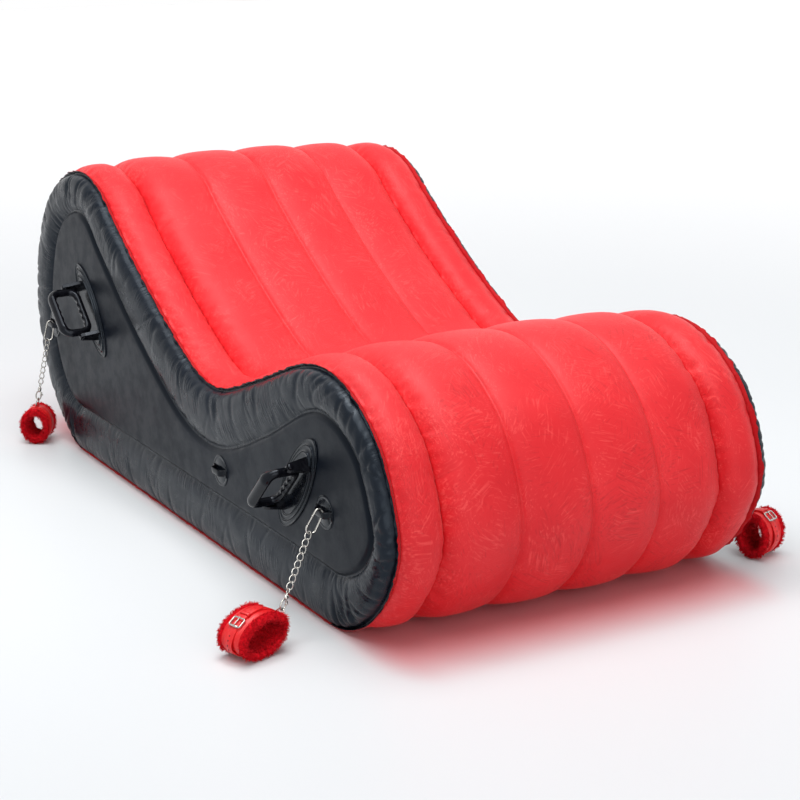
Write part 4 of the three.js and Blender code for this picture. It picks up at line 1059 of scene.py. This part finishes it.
def fur_lining(name, oval, skin):
    """A full soft ring with strands on all of it that shows."""
    rng = random.Random(sum(map(ord, name)))
    bore, deep = oval.bore, skin - 0.0085
    section = closed([
        (0.0222, skin), (0.0236, skin + 0.0030), (0.0262, skin + 0.0048), (0.0292, skin + 0.0040),
        (0.0318, skin + 0.0010), (0.0328, skin - 0.0035), (0.0318, skin - 0.0080),
        (0.0288, deep + 0.0020), (0.0240, deep), (0.014, deep - 0.0005), (0.004, deep)])
    shift = rng.random() * 9

    def lumps(a, k):
        return 0.0 if k < 2 else waves((0.0018, 9 * math.cos(a), 9 * math.sin(a), k * 0.9 + shift))

    lining = oval.ring(section, 110, lumps)
    outline = section[2:]
    for _ in range(6000):
        a = rng.random() * TURN
        u = rng.random() * (len(outline) - 1)
        (x0, r0), (x1, r1) = outline[int(u):int(u) + 2]
        dx, dr = x1 - x0, r1 - r0
        ax, ri = x0 + dx * (u - int(u)), r0 + dr * (u - int(u))
        ln = math.hypot(dx, dr) or 1
        nx, nr = -dr / ln, dx / ln
        if nx * ax + nr * (ri - (skin - 0.0045)) < 0:
            nx, nr = -nx, -nr
        root, normal = oval.at(a, ax, ri)
        t = oval.tangent(a)
        clump = noise.noise_vector(root * 160)
        lean = (bore * nx + normal * nr + clump * 0.9 + t * rng.uniform(-0.45, 0.45)
                + bore * rng.uniform(-0.35, 0.35)).normalized()
        length = rng.uniform(0.0040, 0.0086)
        bend = (clump * 0.6 + normal * -0.15 + Vector((0, 0, -0.35))) * length * 0.45
        aside = lean.cross(t if abs(lean.dot(t)) < 0.9 else bore).normalized()
        other = lean.cross(aside)
        thick = rng.uniform(0.00042, 0.00072)
        base = root - lean * 0.0012
        n = len(lining.v)
        for share, r in ((0, 1.0), (0.45, 0.85), (0.8, 0.5)):
            c = base + lean * (length * share) + bend * (share * share)
            c.z = max(c.z, 0.0008)
            lining.v += [tuple(c + way * (thick * r)) for way in (
                aside, aside * -0.5 + other * 0.87, aside * -0.5 - other * 0.87)]
        tip = base + lean * length + bend
        lining.v.append((tip.x, tip.y, max(tip.z, 0.0006)))
        for i in (n, n + 3):
            lining.f += [(i + q, i + (q + 1) % 3, i + (q + 1) % 3 + 3, i + q + 3) for q in range(3)]
        lining.f.append((n + 2, n + 1, n))
        lining.f += [(n + 6 + q, n + 6 + (q + 1) % 3, n + 9) for q in range(3)]
    o = new_mesh(f"{name}_fur_lining", lining.v, lining.f, FUR)
    dress(o, f"{name}_cuff", "red_fur", f"{name}_fur")


for name, tab, side, swing, lean, bore, to_ring, along, across, step in CORNERS:
    hang = panel_point(side, *TABS[tab][1:], 0.0015 + 0.0112)
    sw, le = math.radians(swing), math.radians(lean)
    drop = Vector((0, side * math.sin(sw), -math.cos(sw)))
    front = Vector((0, side * math.cos(sw), math.sin(sw)))
    lower = hang + drop * CAR_SPAN
    carabiner_pieces(name, hang, lower, front, drop)
    pull = Vector((math.sin(le), 0, 0)) + drop * math.cos(le)
    seat = lower + drop * CAR_LOW - pull * CAR_WIRE
    wide = Vector((math.cos(le), 0, 0)) - drop * math.sin(le)

    def down(distance, seat=seat, pull=pull):
        return seat + pull * distance

    stud = chain_pieces(name, down, pull, wide, pull.cross(wide))
    bore = Vector(bore).normalized()
    bar = hook_pieces(name, down, pull, bore.cross(pull).normalized(), bore, stud)
    cuff_pieces(name, bar, bore, to_ring, along, across, step)


# Stage: floor with painted red bounce light close to the body, lamps and world

def stage_material():
    s = Surface("studio_floor")
    base = s.coords()
    radius = s.node("VectorMath", (0, base), operation="LENGTH").outputs["Value"]
    near = s.ramp(s.noise(base, 0.8, 2), (0.3, (0.715, 0.732, 0.745)), (0.7, (0.725, 0.742, 0.755)))
    pale = s.blend(s.span(radius, 1.2, 5.0, 0.0, 1.0), near, (0.90, 0.90, 0.905))
    # mask for the painted red bounce light: distance out from a box round the body, pinker closer in
    split = s.node("SeparateXYZ", (0, base))
    gaps = []
    for k, middle, half, fall in ((0, 0.01, 0.79, 0.15), (1, 0.0, 0.355, 0.075)):
        off = s.maths("ABSOLUTE", s.maths("SUBTRACT", split.outputs[k], middle))
        gap = s.maths("DIVIDE", s.maths("MAXIMUM", s.maths("SUBTRACT", off, half)), fall)
        gaps.append(s.maths("MULTIPLY", gap, gap))
    painted_red_bounce = s.span(s.maths("SQRT", s.maths("ADD", *gaps)), 0.0, 1.25, 0.60, 0.0)
    return s.look(s.blend(painted_red_bounce, pale, (0.86, 0.16, 0.19)), 0.45, 0.18)


floor = new_mesh("floor", [(x, y, -0.0002) for x, y in ((-14, -14), (14, -14), (14, 14), (-14, 14))],
                 [(0, 1, 2, 3)], stage_material())


for name, toward, energy, angle in (("key", (0.10, -0.18, 1.0), 1.86, 50),
                                    ("front", (1.0, -0.12, 0.30), 0.66, 40)):
    aimed(bpy.data.lights.new(name, "SUN"), Vector(toward) * 5, Vector(),
          energy=energy, angle=math.radians(angle))
aimed(bpy.data.lights.new("softbox", "AREA"), Vector((0.25, -0.3, 1.9)), Vector((-0.35, 0, 0.45)),
      energy=15, shape="SQUARE", size=0.8)

# the world: pale by height for diffuse rays, white for the camera, in glass and in reflections
world = scene.world = bpy.data.worlds.new("studio")
world.use_nodes = True
w = Shader(world.node_tree)
rays = w.node("LightPath").outputs
height = w.node("SeparateXYZ", (0, w.node("TexCoord").outputs["Generated"])).outputs[2]
sky = w.ramp(height, (0, (0.27, 0.275, 0.285)), (1, (0.58, 0.585, 0.60)))
seen = w.maths("MAXIMUM", rays["Is Camera Ray"], rays["Is Transmission Ray"])
seen = w.maths("MAXIMUM", seen, rays["Is Glossy Ray"])
background = w.nodes["Background"].inputs
w.feed(background["Color"], w.blend(seen, sky, (1, 1, 1)))
w.feed(background["Strength"], 1.0)
